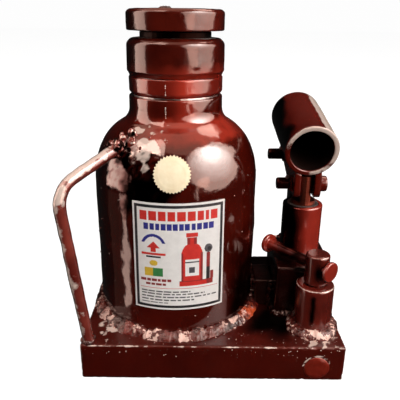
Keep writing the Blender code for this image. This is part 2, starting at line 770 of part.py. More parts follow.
def build_pump():
    at = (PUMP_X, PUMP_Y)
    rim = 2.6 * MM
    turned(
        "pump_barrel",
        [
            (PLUNGER_BORE, SPIGOT_BOTTOM),
            (SPIGOT_RADIUS, SPIGOT_BOTTOM),
            (SPIGOT_RADIUS, BLOCK_TOP + GAP),
            (BARREL_RADIUS, BLOCK_TOP + GAP),
            (BARREL_RADIUS, BARREL_TOP - rim),
            (BARREL_RADIUS - 0.8 * MM, BARREL_TOP - 0.8 * MM),
            (BARREL_RADIUS - rim, BARREL_TOP),
            (WIPER_OUTER, BARREL_TOP),
            (WIPER_OUTER, BARREL_TOP - WIPER_DEPTH),
            (PLUNGER_BORE, BARREL_TOP - WIPER_DEPTH),
        ],
        ENAMEL,
        at,
        SEG_MEDIUM,
        ring=True,
    )
    turned(
        "plunger_wiper",
        ring_profile(
            PLUNGER_RADIUS + GAP,
            WIPER_OUTER - GAP,
            BARREL_TOP - WIPER_DEPTH + GAP,
            BARREL_TOP + GAP,
        ),
        RUBBER,
        at,
        ring=True,
        roughness=0.7,
    )
    core, core_length = 6.0 * MM, 8.0 * MM
    tongue_top = PIN_B.z + 9.5 * MM
    plunger = turned(
        "plunger",
        [
            (0, PLUNGER_BOTTOM),
            (core, PLUNGER_BOTTOM),
            (core, PLUNGER_BOTTOM + core_length),
            (PLUNGER_RADIUS, PLUNGER_BOTTOM + core_length),
            (PLUNGER_RADIUS, tongue_top),
            (0, tongue_top),
        ],
        STEEL,
        at,
        SEG_MEDIUM,
        metallic=1.0,
    )
    for side in (-1, 1):
        inner, outer = sorted((side * TONGUE_HALF, side * HOLE_REACH))
        low = (PUMP_X + inner, PUMP_Y - HOLE_REACH, PLUNGER_SHOULDER)
        high = (PUMP_X + outer, PUMP_Y + HOLE_REACH, PIN_B.z + HOLE_REACH)
        cut(plunger, cutter(box_mesh(low, high), "plunger.flat"))
    drill_x(plunger, PIN_B, HOLE_REACH, PIN_RADIUS + GAP)
    seal_low, seal_high = PLUNGER_BOTTOM + GAP, PLUNGER_BOTTOM + core_length - GAP
    turned(
        "plunger_cup_seal",
        ring_profile(core + GAP, PLUNGER_BORE - 0.2 * MM, seal_low, seal_high),
        RUBBER,
        at,
        ring=True,
        roughness=0.7,
    )
    turned(
        "plunger_retainer",
        rod_profile(8 * MM, PLUNGER_BOTTOM - 3.4 * MM, PLUNGER_BOTTOM - GAP, 0.6 * MM),
        STEEL,
        at,
        segments=SEG_SMALL,
        metallic=1.0,
    )
    turned(
        "suction_cage",
        ring_profile(3.6 * MM, 8.7 * MM, SPIGOT_BOTTOM - 2.8 * MM, SPIGOT_BOTTOM - 0.8 * MM),
        STEEL,
        at,
        segments=SEG_SMALL,
        ring=True,
        metallic=1.0,
    )
    ball("suction_ball", (PUMP_X, PUMP_Y, SUCTION_SEAT_Z + BALL_RADIUS + GAP))
    ball("delivery_ball", (DELIVERY_X, DELIVERY_Y, DELIVERY_SEAT_Z + BALL_RADIUS + GAP))
    hex_top = BLOCK_TOP + 6.5 * MM
    shank, shank_bottom = BALL_RADIUS + 0.7 * MM, SPRING_HIGH + 0.5 * MM
    turned(
        "delivery_plug",
        [
            (0, shank_bottom),
            (shank, shank_bottom),
            (shank, BLOCK_TOP + GAP),
            (8.0 * MM, BLOCK_TOP + GAP),
            (8.0 * MM, hex_top - MM),
            (7.0 * MM, hex_top),
            (0, hex_top),
        ],
        ENAMEL,
        (DELIVERY_X, DELIVERY_Y),
        segments=6,
        smooth=False,
    )
    build_spring("delivery_spring", (DELIVERY_X, DELIVERY_Y), SPRING_LOW, SPRING_HIGH)


def ball(name, center):
    shape = bmesh.new()
    bmesh.ops.create_uvsphere(shape, u_segments=14, v_segments=8, radius=BALL_RADIUS)
    item = add_mesh(name, shape, STEEL, roughness=0.15, metallic=1.0)
    item.location = center
    return item


def build_spring(name, at, low, high):
    """A compression spring as a helix of round wire."""
    wire, coil_radius, turns, per_turn = 0.6 * MM, 3.2 * MM, 4, 9
    curve = bpy.data.curves.new(name, "CURVE")
    curve.dimensions = "3D"
    curve.bevel_depth = wire
    curve.bevel_resolution = 0
    curve.use_fill_caps = True
    spline = curve.splines.new("POLY")
    count = turns * per_turn
    spline.points.add(count)
    for i, point in enumerate(spline.points):
        turn = 2 * math.pi * i / per_turn
        z = low + wire + (high - low - 2 * wire) * i / count
        x = at[0] + coil_radius * math.cos(turn)
        point.co = (x, at[1] + coil_radius * math.sin(turn), z, 1.0)
    curve.materials.append(make_material(name, STEEL, 0.3, 1.0))
    item = bpy.data.objects.new(name, curve)
    bpy.context.scene.collection.objects.link(item)


# --- Lever, link and pins -------------------------------------------------------------------


def socket_axis():
    flat = math.cos(SOCKET_TILT)
    return Vector((-flat * math.sin(SOCKET_YAW), flat * math.cos(SOCKET_YAW), math.sin(SOCKET_TILT)))


def build_socket():
    lip = 1.6 * MM
    length = SOCKET_LENGTH
    turned_along(
        "handle_socket",
        [
            (0, length),
            (SOCKET_RADIUS - 3 * MM, length),
            (SOCKET_RADIUS - 0.8 * MM, length - 0.8 * MM),
            (SOCKET_RADIUS, length - 3 * MM),
            (SOCKET_RADIUS, lip),
            (SOCKET_RADIUS - 0.5 * lip, 0.3 * lip),
            (SOCKET_RADIUS - lip, 0),
            (SOCKET_BORE + lip, 0),
            (SOCKET_BORE + 0.3 * lip, 0.4 * lip),
            (SOCKET_BORE, lip),
            (SOCKET_BORE, length - SOCKET_BACK_WALL),
            (0, length - SOCKET_BACK_WALL),
        ],
        ENAMEL,
        SOCKET_MOUTH,
        socket_axis(),
        segments=SEG_MEDIUM,
    )


def ear_outline():
    """Side view of a lever ear, as (y, z) points: nose below the mouth, tail round pin A."""
    nose_y, bottom, corner = PIN_B.y - 16.5 * MM, PIN_B.z - 9.4 * MM, 6 * MM
    tail = 10.5 * MM
    heel_y = PIN_B.y + 6 * MM
    points = arc((nose_y + corner, bottom + corner), corner, math.pi, 1.5 * math.pi, 4)
    points += [(heel_y, bottom)]
    slope = math.atan2(PIN_A.z - tail - bottom, PIN_A.y - heel_y)
    points += arc((PIN_A.y, PIN_A.z), tail, slope - math.pi / 2, math.radians(75), 6)
    axis = socket_axis()
    rise = axis.z / axis.y
    points += [(PIN_A.y, SOCKET_MOUTH.z + (PIN_A.y - SOCKET_MOUTH.y) * rise)]
    points += [(nose_y, SOCKET_MOUTH.z + (nose_y - SOCKET_MOUTH.y) * rise)]
    return points


def build_ears():
    tool = spun(
        rod_profile(SOCKET_RADIUS + GAP, -40 * MM, SOCKET_LENGTH + 40 * MM), SEG_MEDIUM, False
    )
    spin = socket_axis().to_track_quat("Z", "Y").to_matrix().to_4x4()
    bmesh.ops.transform(tool, matrix=Matrix.Translation(SOCKET_MOUTH) @ spin, verts=tool.verts)
    socket_tool = cutter(tool, "ears.socket")
    for name, side in (("lever_ear_left", -1), ("lever_ear_right", 1)):
        low, high = sorted((PUMP_X + side * EAR_INNER, PUMP_X + side * EAR_OUTER))
        ear = add_mesh(name, plate_mesh(ear_outline(), low, high), ENAMEL, smooth=False)
        cut(ear, socket_tool)
        for pin in (PIN_A, PIN_B):
            drill_x(ear, pin, HOLE_REACH, PIN_RADIUS + GAP)


def build_pin(name, center, left, right, head):
    """A round pin along X, from left to right of the pump plane, with a head on the right."""
    turned_along(
        name,
        [
            (0, -left),
            (PIN_RADIUS - 0.6 * MM, -left),
            (PIN_RADIUS, -left + 0.6 * MM),
            (PIN_RADIUS, right),
            (PIN_RADIUS + 2.0 * MM, right),
            (PIN_RADIUS + 2.0 * MM, right + head - 0.8 * MM),
            (PIN_RADIUS + 1.2 * MM, right + head),
            (0, right + head),
        ],
        ENAMEL,
        center,
        (1, 0, 0),
        metallic=0.6,
    )


def build_washer(name, center, low):
    turned_along(
        name,
        ring_profile(PIN_RADIUS + GAP, PIN_RADIUS + 2.2 * MM, low, low + WASHER_THICK),
        ENAMEL,
        center,
        (1, 0, 0),
        ring=True,
        metallic=0.6,
    )


def build_split_pin(name, center, offset):
    """A split pin across the pin's left end, drawn as a short bar with a round eye."""
    low, high = PIN_RADIUS + 0.2 * MM, PIN_RADIUS + 3.2 * MM
    turned_along(
        name,
        [(0, low), (1.4 * MM, low), (1.9 * MM, low + 1.2 * MM), (1.2 * MM, high), (0, high)],
        STEEL,
        Vector(center) + Vector((offset, 0, 0)),
        (0, -0.3, 0.95),
        segments=10,
        metallic=1.0,
    )


def link_outline(radius):
    """Side view of the link: two round ends and straight sides, as (y, z) points."""
    along = Vector((PIN_A.y - PIN_C.y, PIN_A.z - PIN_C.z))
    lean = math.atan2(along.y, along.x)
    points = arc((PIN_A.y, PIN_A.z), radius, lean - math.pi / 2, lean + math.pi / 2, 8)
    points += arc((PIN_C.y, PIN_C.z), radius, lean + math.pi / 2, lean + 1.5 * math.pi, 8)
    return points


def lug_outline():
    radius = 9.5 * MM
    bottom = BASE_TOP + GAP
    points = arc((PIN_C.y, PIN_C.z), radius, 0, math.pi, 8)
    back = BLOCK_BACK + GAP
    points[-1] = (back, PIN_C.z)
    return points + [(back, bottom), (PIN_C.y + radius, bottom)]


def build_linkage():
    link = add_mesh(
        "fulcrum_link",
        plate_mesh(link_outline(9.6 * MM), PUMP_X - LINK_HALF, PUMP_X + LINK_HALF),
        ENAMEL,
        smooth=False,
    )
    drill_x(link, PIN_A, HOLE_REACH, PIN_RADIUS + PIN_PLAY)
    drill_x(link, PIN_C, HOLE_REACH, PIN_RADIUS + GAP)
    for name, side in (("link_lug_left", -1), ("link_lug_right", 1)):
        low, high = sorted((PUMP_X + side * LUG_INNER, PUMP_X + side * LUG_OUTER))
        lug = add_mesh(name, plate_mesh(lug_outline(), low, high), ENAMEL, smooth=False)
        drill_x(lug, PIN_C, HOLE_REACH, PIN_RADIUS + GAP)
    pins = (
        ("pin_a_fulcrum", "washer_pin_a", "split_pin_a", PIN_A, EAR_OUTER, 28.5 * MM, 7 * MM),
        ("pin_b_plunger", "washer_pin_b", "split_pin_b", PIN_B, EAR_OUTER, 25.6 * MM, 8 * MM),
        ("pin_c_link", "washer_pin_c", "split_pin_c", PIN_C, LUG_OUTER, 19.0 * MM, 6 * MM),
    )
    for pin, washer, split_pin, center, edge, left, head in pins:
        build_pin(pin, center, left, edge + GAP, head)
        build_washer(washer, center, -edge - GAP - WASHER_THICK)
        build_split_pin(split_pin, center, -edge - 2 * GAP - WASHER_THICK - 2.2 * MM)


# --- Release valve ----------------------------------------------------------------------------


def build_release_valve():
    at = (VALVE_X, VALVE_Y)
    rim = 1.8 * MM
    boss = turned(
        "valve_housing",
        [
            (0, BASE_TOP + GAP),
            (BOSS_RADIUS, BASE_TOP + GAP),
            (BOSS_RADIUS, BOSS_TOP - rim),
            (BOSS_RADIUS - 0.5 * MM, BOSS_TOP - 0.5 * MM),
            (BOSS_RADIUS - rim, BOSS_TOP),
            (BOSS_BORE, BOSS_TOP),
            (BOSS_BORE, VALVE_SEAT_Z + 9.5 * MM),
            (BALL_RADIUS + 0.6 * MM, VALVE_SEAT_Z + 6.0 * MM),
            (BALL_RADIUS + 0.6 * MM, VALVE_SEAT_Z),
            (0, VALVE_SEAT_Z),
        ],
        ENAMEL,
        at,
        SEG_MEDIUM,
    )
    below, above = (VALVE_X, VALVE_Y, BASE_TOP - MM), (VALVE_X, VALVE_Y, VALVE_SEAT_Z + MM)
    drill(boss, below, above, RETURN_BORE)
    back_z = STEM_TIP + 1.5 * MM
    drill(boss, (VALVE_X, VALVE_Y, back_z), (VALVE_X, VALVE_Y + HOLE_REACH, back_z), 2.2 * MM)
    ball("release_ball", (VALVE_X, VALVE_Y, VALVE_SEAT_Z + BALL_RADIUS + GAP))
    spindle = turned(
        "release_spindle",
        [
            (0, STEM_TIP - 1.6 * MM),
            (3.6 * MM, STEM_TIP - 1.6 * MM),
            (STEM_RADIUS, STEM_TIP + 2.4 * MM),
            (STEM_RADIUS, GROOVE_LOW),
            (GROOVE_RADIUS, GROOVE_LOW),
            (GROOVE_RADIUS, GROOVE_HIGH),
            (STEM_RADIUS, GROOVE_HIGH),
            (STEM_RADIUS, SPINDLE_BOTTOM),
            (SPINDLE_RADIUS - 0.6 * MM, SPINDLE_BOTTOM),
            (SPINDLE_RADIUS, SPINDLE_BOTTOM + 0.6 * MM),
            (SPINDLE_RADIUS, SPINDLE_TOP - 1.2 * MM),
            (SPINDLE_RADIUS - 1.2 * MM, SPINDLE_TOP),
            (0, SPINDLE_TOP),
        ],
        ENAMEL,
        at,
        SEG_MEDIUM,
    )
    along = Vector((math.cos(BAR_AZIMUTH), math.sin(BAR_AZIMUTH), 0))
    center = Vector((VALVE_X, VALVE_Y, BAR_Z))
    drill(
        spindle,
        center - along * HOLE_REACH,
        center + along * HOLE_REACH,
        BAR_RADIUS + GAP,
        SEG_SMALL,
    )
    turned(
        "stem_seal",
        ring_profile(
            GROOVE_RADIUS + GAP, STEM_RADIUS + 0.1 * MM, GROOVE_LOW + GAP, GROOVE_HIGH - GAP
        ),
        RUBBER,
        at,
        segments=SEG_SMALL,
        ring=True,
        roughness=0.7,
    )
    edge = 0.9 * MM
    neck = BAR_BACK + BAR_HEAD_THICK
    turned_along(
        "tommy_bar",
        [
            (0, BAR_BACK),
            (BAR_HEAD_RADIUS - edge, BAR_BACK),
            (BAR_HEAD_RADIUS, BAR_BACK + edge),
            (BAR_HEAD_RADIUS, neck - edge),
            (BAR_HEAD_RADIUS - edge, neck),
            (BAR_RADIUS, neck),
            (BAR_RADIUS, BAR_FRONT - BAR_HEAD_THICK),
            (BAR_RADIUS - 1.5 * MM, BAR_FRONT - BAR_HEAD_THICK),
            (BAR_RADIUS - 1.5 * MM, BAR_FRONT - 1.2 * MM),
            (0, BAR_FRONT - 1.2 * MM),
        ],
        ENAMEL,
        center,
        along,
    )
    turned_along(
        "tommy_bar_head",
        [
            (BAR_RADIUS - 1.2 * MM, BAR_FRONT - BAR_HEAD_THICK + GAP),
            (BAR_HEAD_RADIUS - edge, BAR_FRONT - BAR_HEAD_THICK + GAP),
            (BAR_HEAD_RADIUS, BAR_FRONT - BAR_HEAD_THICK + GAP + edge),
            (BAR_HEAD_RADIUS, BAR_FRONT - edge),
            (BAR_HEAD_RADIUS - edge, BAR_FRONT),
            (BAR_RADIUS - 1.2 * MM, BAR_FRONT),
        ],
        ENAMEL,
        center,
        along,
        ring=True,
    )


def build():
    clear_scene()
    build_base()
    build_reservoir()
    build_handle()
    build_label()
    build_ram_cylinder()
    build_ram()
    build_pump_block()
    build_pump()
    build_socket()
    build_ears()
    build_linkage()
    build_release_valve()


build()
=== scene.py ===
"""Looks of the hydraulic bottle jack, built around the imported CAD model.

+Z up, front towards -Y. The script counts in millimetres; meshes, camera and lamps are written in
metres. Every visible piece is brushed enamel over steel, so the turned and plated CAD shapes are
rebuilt here with finer meshes, rounded paint edges, runs, weld beads and specks, and the CAD
nodes that stay get better materials.
"""

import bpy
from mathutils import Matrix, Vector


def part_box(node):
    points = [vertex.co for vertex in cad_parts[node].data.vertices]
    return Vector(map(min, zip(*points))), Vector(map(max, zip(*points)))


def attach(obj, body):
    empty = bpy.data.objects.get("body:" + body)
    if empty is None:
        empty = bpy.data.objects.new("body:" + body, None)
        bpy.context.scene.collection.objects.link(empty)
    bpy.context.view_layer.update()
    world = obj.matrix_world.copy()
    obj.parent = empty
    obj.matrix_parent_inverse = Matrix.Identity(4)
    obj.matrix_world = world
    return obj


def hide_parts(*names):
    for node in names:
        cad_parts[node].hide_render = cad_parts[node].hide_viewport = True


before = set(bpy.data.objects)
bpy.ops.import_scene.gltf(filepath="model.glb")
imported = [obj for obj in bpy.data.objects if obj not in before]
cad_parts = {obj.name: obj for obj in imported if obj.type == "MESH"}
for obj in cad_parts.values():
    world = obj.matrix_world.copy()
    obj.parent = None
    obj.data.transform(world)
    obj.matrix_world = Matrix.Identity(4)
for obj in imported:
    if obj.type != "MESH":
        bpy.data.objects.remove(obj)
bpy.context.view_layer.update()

import random
from math import asin, atan2, ceil, cos, degrees, exp, hypot, pi, radians, sin, sqrt, tan

import bmesh
import bpy
import numpy as np
from mathutils import Matrix, Vector, noise

MM = 0.001
UP = Vector((0, 0, 1))
FRONT = Vector((0, -1, 0))

# --- Places and sizes, read from the CAD model ---


def node_box(name):
    """Lowest and highest corner of a CAD node."""
    return [Vector(corner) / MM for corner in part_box(name)]


def node_axis(name):
    """X and Y of an upright turned node's axis."""
    low, high = node_box(name)
    return Vector((low.x + high.x, low.y + high.y, 0)) / 2


def node_radius(name):
    low, high = node_box(name)
    return (high.x - low.x) / 2


def node_span(name):
    """Lowest and highest Z of a node."""
    low, high = node_box(name)
    return low.z, high.z


def outward(turn):
    """The level direction at an angle round an upright axis, from the front towards +X."""
    return Vector((sin(turn), -cos(turn), 0))


BASE_LOW, BASE_HIGH = node_box("base_block")
BASE_TOP = BASE_HIGH.z
RAM_AXIS = node_axis("clamp_ring")
BODY_RADIUS = node_radius("reservoir_shell")
BODY_BOTTOM, NECK_TOP = node_span("reservoir_shell")
PUMP_AXIS = node_axis("pump_barrel")
VALVE_AXIS = node_axis("valve_housing")

# The bottle's shoulder and neck, as in the CAD model
SHOULDER_Z = 158.0
SHOULDER_WIDTH = 40.0
SHOULDER_HEIGHT = 55.0
SHOULDER_END = radians(69)
NECK_RADIUS = 40.3
NECK_BORE = 36.4
NECK_FILLET = 12.6
BODY_WALL = 5.0

# Where the fresh coat, which is partly painted light, begins on the shoulder, and where a run of paint
# crosses neck and ring
CROWN_Z = SHOULDER_Z + 0.72 * SHOULDER_HEIGHT
NECK_RUN_TURN = radians(-9)

# The lever's socket, as in the CAD model
SOCKET_MOUTH = Vector((PUMP_AXIS.x, -25.0, 186.8))
SOCKET_TILT = radians(12.8)
SOCKET_YAW = radians(1.8)
SOCKET_AXIS = Vector((-sin(SOCKET_YAW), cos(SOCKET_YAW), tan(SOCKET_TILT))).normalized()
SOCKET_RADIUS = 23.5
SOCKET_BORE = 18.9
SOCKET_LENGTH = 83.0
SOCKET_BACK_WALL = 6.0

# The release valve's T-bar, as in the CAD model
BAR_CENTER = Vector((VALVE_AXIS.x, VALVE_AXIS.y, 94.0))
BAR_AXIS = outward(radians(38.1))
BAR_BACK, BAR_FRONT = -59.5, 15.6
BAR_RADIUS = 5.0
BAR_HEAD_RADIUS = 8.8
BAR_HEAD_THICK = 3.6

# The carrying handle, a bent bar in an upright plane through the ram axis: (outwards, up)
HANDLE_RADIUS = 4.8
HANDLE_OUT = outward(radians(-41.8))
HANDLE_BEND = 22.0
HANDLE_FOOT = Vector((107.5, BASE_TOP + 1.1))
HANDLE_CORNER = Vector((126.0, 173.6))
HANDLE_END = Vector((67.2, 194.7))

# The label and the seal
LABEL_TURN = radians(4.4)
LABEL_HALF_ANGLE = radians(30.2)
LABEL_BOTTOM, LABEL_TOP = node_span("label_sheet")
SEAL_RADIUS = 14.4
SEAL_HEIGHT = 179.0

# --- Materials ---


class Finish:
    """A node material: colour, roughness and relief all come from its own noise nodes."""

    def __init__(self, name, **inputs):
        self.material = bpy.data.materials.new(name)
        self.material.use_nodes = True
        self.tree = self.material.node_tree
        self.shader = self.feed(self.tree.nodes["Principled BSDF"], **inputs)
        self.place = self.add("TexCoord").outputs["Object"]

    def connect(self, value, socket):
        """Sets a socket to a number or a colour, or links another node's output to it."""
        if isinstance(value, bpy.types.NodeSocket):
            self.tree.links.new(value, socket)
        elif isinstance(value, tuple) and len(socket.default_value) == 4:
            socket.default_value = (*value, 1.0)
        else:
            socket.default_value = value

    def feed(self, node, **inputs):
        for name, value in inputs.items():
            self.connect(value, node.inputs[name.replace("_", " ")])
        return node

    def add(self, kind, **inputs):
        return self.feed(self.tree.nodes.new("ShaderNode" + kind), **inputs)

    def noise(self, scale, detail=3.0, rough=0.5, stretch=None):
        place = self.place
        if stretch:
            place = self.add("Mapping", Scale=stretch, Vector=place).outputs["Vector"]
        node = self.add("TexNoise", Scale=scale, Detail=detail, Roughness=rough, Vector=place)
        return node.outputs["Fac"]

    def cells(self, scale):
        return self.add("TexVoronoi", Scale=scale, Vector=self.place).outputs["Distance"]

    def attribute(self, name):
        node = self.add("Attribute")
        node.attribute_name = name
        return node.outputs["Fac"]

    def ramp(self, value, *stops):
        """Each of the two stops is (position, grey level or colour)."""
        node = self.add("ValToRGB", Fac=value)
        for element, (position, color) in zip(node.color_ramp.elements, stops):
            element.position = position
            shade = color if isinstance(color, tuple) else (color, color, color)
            element.color = (*shade, 1.0)
        return node.outputs["Color"]

    def mix(self, factor, first, second):
        node = self.add("Mix")
        node.data_type = "RGBA"
        for value, index in ((factor, 0), (first, 6), (second, 7)):
            self.connect(value, node.inputs[index])
        return node.outputs[2]

    def math(self, operation, first, second):
        node = self.add("Math")
        node.operation = operation
        self.connect(first, node.inputs[0])
        self.connect(second, node.inputs[1])
        return node.outputs[0]

    def done(self, color, gloss, *layers):
        """Links up the shader and returns the material.

        gloss is (noise, lowest, highest roughness) and each layer of relief is (height,
        strength, distance); later layers lie on earlier ones.
        """
        blotches, low, high = gloss
        rough = self.add("MapRange", Value=blotches, To_Min=low, To_Max=high).outputs["Result"]
        normal = {}
        for height, strength, distance in layers:
            bump = self.add("Bump", Height=height, Strength=strength, Distance=distance, **normal)
            normal = {"Normal": bump.outputs["Normal"]}
        self.feed(self.shader, Base_Color=color, Roughness=rough, **normal)
        return self.material


PALE_PRIMER_AND_HIGHLIGHT = (0.62, 0.50, 0.44)
DUST = (0.42, 0.20, 0.15)
FRESH_AND_LIGHT_RED = (0.42, 0.035, 0.018)
FRESH_ORANGE = (0.50, 0.07, 0.018)
FLAKE_AND_GLINT = (0.80, 0.55, 0.47)
SOOT_AND_SHADE_BLACK = (0.003, 0.0012, 0.001)


def enamel(name, deep, bright, low=0.07, high=0.22, shine=0.5):
    """Hand-brushed gloss enamel.

    Its mesh attributes: one bares pale primer and paints pale highlights, one brightens the red for a fresh
    coat and for painted light, and one blackens it and takes its gloss for soot and for painted shade.
    """
    paint = Finish(name, Coat_Roughness=0.05, IOR=1.5, Specular_IOR_Level=shine)
    color = paint.ramp(paint.noise(24, 4, 0.6), (0.34, deep), (0.66, bright))
    color = paint.mix(paint.attribute("fresh"), color, FRESH_AND_LIGHT_RED)
    strokes = paint.noise(130, 3, 0.6, (1, 1, 0.12))
    color = paint.mix(paint.ramp(strokes, (0.55, 0.0), (0.75, 0.35)), color, deep)
    nibs = paint.ramp(paint.cells(210), (0.0, 1.0), (0.05, 0.0))
    where = paint.ramp(paint.noise(16, 2), (0.52, 0.0), (0.62, 1.0))
    color = paint.mix(paint.math("MULTIPLY", nibs, where), color, DUST)
    grain = paint.math("MULTIPLY", paint.noise(260, 5, 0.7), 0.5)
    worn_and_highlit = paint.math("ADD", paint.math("MULTIPLY", paint.attribute("wear"), 0.7), grain)
    color = paint.mix(paint.ramp(worn_and_highlit, (0.62, 0.0), (0.76, 1.0)), color, PALE_PRIMER_AND_HIGHLIGHT)
    soot = paint.attribute("soot")
    coat = paint.math("MULTIPLY", paint.math("SUBTRACT", 1.0, soot), 0.7 * shine)
    paint.feed(paint.shader, Coat_Weight=coat, Metallic=soot)
    return paint.done(
        paint.mix(soot, color, SOOT_AND_SHADE_BLACK),
        (paint.noise(38, 5, 0.7), low, high),
        (paint.noise(75, 2), 0.35, 0.0012),
        (strokes, 0.12, 0.0006),
        (paint.noise(650, 3, 0.6), 0.10, 0.0003),
    )


def weld_enamel(name, deep, bright):
    """Thin enamel over a rough weld.

    Its mesh attributes: the worn one adds pale flakes, which stand partly for painted glints, and the fresh
    one turns it orange.
    """
    paint = Finish(name, Coat_Weight=0.25, Coat_Roughness=0.06, Specular_IOR_Level=0.3)
    color = paint.ramp(paint.noise(60, 5, 0.7), (0.35, deep), (0.6, bright))
    flakes_and_glints = paint.ramp(paint.noise(120, 3, 0.65), (0.53, 0.0), (0.56, 1.0))
    patchy = paint.ramp(paint.noise(26, 3), (0.49, 0.0), (0.56, 0.9))
    flakes_and_glints = paint.math("MULTIPLY", flakes_and_glints, paint.math("ADD", patchy, paint.attribute("wear")))
    fresh = paint.math("MULTIPLY", paint.attribute("fresh"), paint.noise(90, 4, 0.7))
    fresh = paint.ramp(fresh, (0.34, 0.0), (0.5, 1.0))
    return paint.done(
        paint.mix(fresh, paint.mix(flakes_and_glints, color, FLAKE_AND_GLINT), FRESH_ORANGE),
        (paint.noise(120, 4, 0.7), 0.08, 0.30),
        (paint.noise(330, 5, 0.8), 0.8, 0.0014),
        (paint.cells(420), 0.35, 0.0007),
    )


def machined(name, color, low, high):
    """Turned metal with fine tool marks and a little dirt."""
    metal = Finish(name, Metallic=1.0)
    marks = metal.noise(90, 3, 0.6, (1, 1, 30))
    dark = tuple(channel * 0.55 for channel in color)
    shade = metal.ramp(marks, (0.3, dark), (0.7, color))
    return metal.done(shade, (metal.noise(60, 3), low, high), (marks, 0.15, 0.0002))


def soft(name, dark, pale, low=0.28, high=0.42, scale=220, shine=0.5):
    """Rubber, paper or printed film: a fine grain of two close shades."""
    film = Finish(name, Specular_IOR_Level=shine)
    grain = film.noise(scale, 4, 0.6)
    shade = film.ramp(grain, (0.3, dark), (0.7, pale))
    return film.done(shade, (film.noise(scale / 4, 3), low, high), (grain, 0.12, 0.0003))


BODY_PAINT = enamel("enamel_body", (0.036, 0.0022, 0.0009), (0.066, 0.0044, 0.0018), 0.05, 0.13, 0.45)
RING_PAINT = enamel("enamel_ring", (0.09, 0.006, 0.003), (0.20, 0.014, 0.007), shine=0.42)
NUT_PAINT = enamel("enamel_nut", (0.028, 0.0022, 0.0010), (0.066, 0.0050, 0.0022), shine=0.32)
PUMP_PAINT = enamel("enamel_pump", (0.22, 0.016, 0.009), (0.30, 0.023, 0.012), 0.14, 0.30)
LEVER_PAINT = enamel("enamel_lever", (0.060, 0.0034, 0.0014), (0.105, 0.0065, 0.0028), 0.12, 0.28, 0.3)
VALVE_PAINT = enamel("enamel_valve", (0.06, 0.0056, 0.0032), (0.13, 0.012, 0.007), 0.12, 0.28)
HANDLE_PAINT = enamel("enamel_handle", (0.10, 0.011, 0.007), (0.22, 0.035, 0.024), 0.16, 0.34)
# The block's enamel is near black: painted shade for the shadowed block, lugs and link round the pump.
BLOCK_SHADE_PAINT = enamel("enamel_block_in_shade", (0.004, 0.0005, 0.0003), (0.012, 0.0010, 0.0006), 0.12, 0.3, 0.3)
BASE_PAINT = enamel("enamel_base", (0.038, 0.0018, 0.0004), (0.060, 0.0030, 0.0008), 0.22, 0.42, 0.25)
PLUG_PAINT = enamel("enamel_plug", (0.12, 0.008, 0.0035), (0.17, 0.012, 0.005), 0.2, 0.4, 0.3)
WELD_PAINT = weld_enamel("enamel_weld", (0.010, 0.0009, 0.0006), (0.12, 0.009, 0.005))
SPECK_PAINT = soft("paint_specks", (0.45, 0.30, 0.26), (0.80, 0.70, 0.64), 0.15, 0.35)
STEEL = machined("turned_steel", (0.56, 0.56, 0.57), 0.22, 0.42)
# The ram's steel is near black: painted shade in the gap under the saddle.
RAM_SHADE_STEEL = machined("ram_steel_in_shade", (0.004, 0.0016, 0.0012), 0.3, 0.5)
PLUNGER_STEEL = machined("painted_steel", (0.20, 0.055, 0.035), 0.25, 0.45)
BRONZE = machined("turned_bronze", (0.60, 0.42, 0.20), 0.25, 0.45)
COPPER = machined("annealed_copper", (0.62, 0.32, 0.18), 0.3, 0.5)
RUBBER = soft("nitrile_rubber", (0.004, 0.004, 0.004), (0.010, 0.010, 0.010), 0.5, 0.75)
SEAL_PAPER = soft("seal_paper", (0.80, 0.70, 0.46), (0.90, 0.82, 0.60), 0.5, 0.75, 140)
# The socket's bore is near black: painted shade inside the tube.
BORE_SHADE_PAINT = soft("bore_painted_shade", (0.0012, 0.0004, 0.0003), (0.003, 0.001, 0.0007), 0.8, 0.95, shine=0.05)
INKS = {
    name: soft("label_" + name, *shades)
    for name, *shades in (
        ("paper", (0.82, 0.82, 0.81), (0.90, 0.90, 0.89)),
        ("frame", (0.010, 0.012, 0.014), (0.022, 0.024, 0.028), 0.25, 0.4),
        ("red", (0.55, 0.025, 0.020), (0.66, 0.04, 0.03)),
        ("blue", (0.018, 0.022, 0.20), (0.03, 0.035, 0.28)),
        ("amber", (0.62, 0.40, 0.03), (0.75, 0.52, 0.06)),
        ("green", (0.03, 0.18, 0.05), (0.05, 0.26, 0.08)),
        ("text", (0.05, 0.05, 0.06), (0.12, 0.12, 0.13)),
        ("maroon", (0.20, 0.02, 0.02), (0.30, 0.03, 0.03)),
    )
}

# --- Mesh helpers ---


def clamp(value, low=0.0, high=1.0):
    return min(high, max(low, value))


def add_object(name, data):
    item = bpy.data.objects.new(name, data)
    bpy.context.scene.collection.objects.link(item)
    return item


def dress(item, material, body, node=None):
    """Gives a piece its material and the body that carries it, and hides the CAD node that it stands for."""
    item.data.materials.clear()
    item.data.materials.append(material)
    item.data.shade_smooth()
    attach(item, body)
    if node:
        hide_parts(node)
    return item


def add_piece(name, verts, faces, material, body="root", node=None, sharp=None):
    mesh = bpy.data.meshes.new(name)
    mesh.from_pydata([tuple(vert * MM) for vert in verts], [], faces)
    builder = bmesh.new()
    builder.from_mesh(mesh)
    bmesh.ops.recalc_face_normals(builder, faces=builder.faces)
    builder.to_mesh(mesh)
    builder.free()
    item = dress(add_object(name, mesh), material, body, node)
    if sharp:
        mesh.set_sharp_from_angle(angle=radians(sharp))
    return item


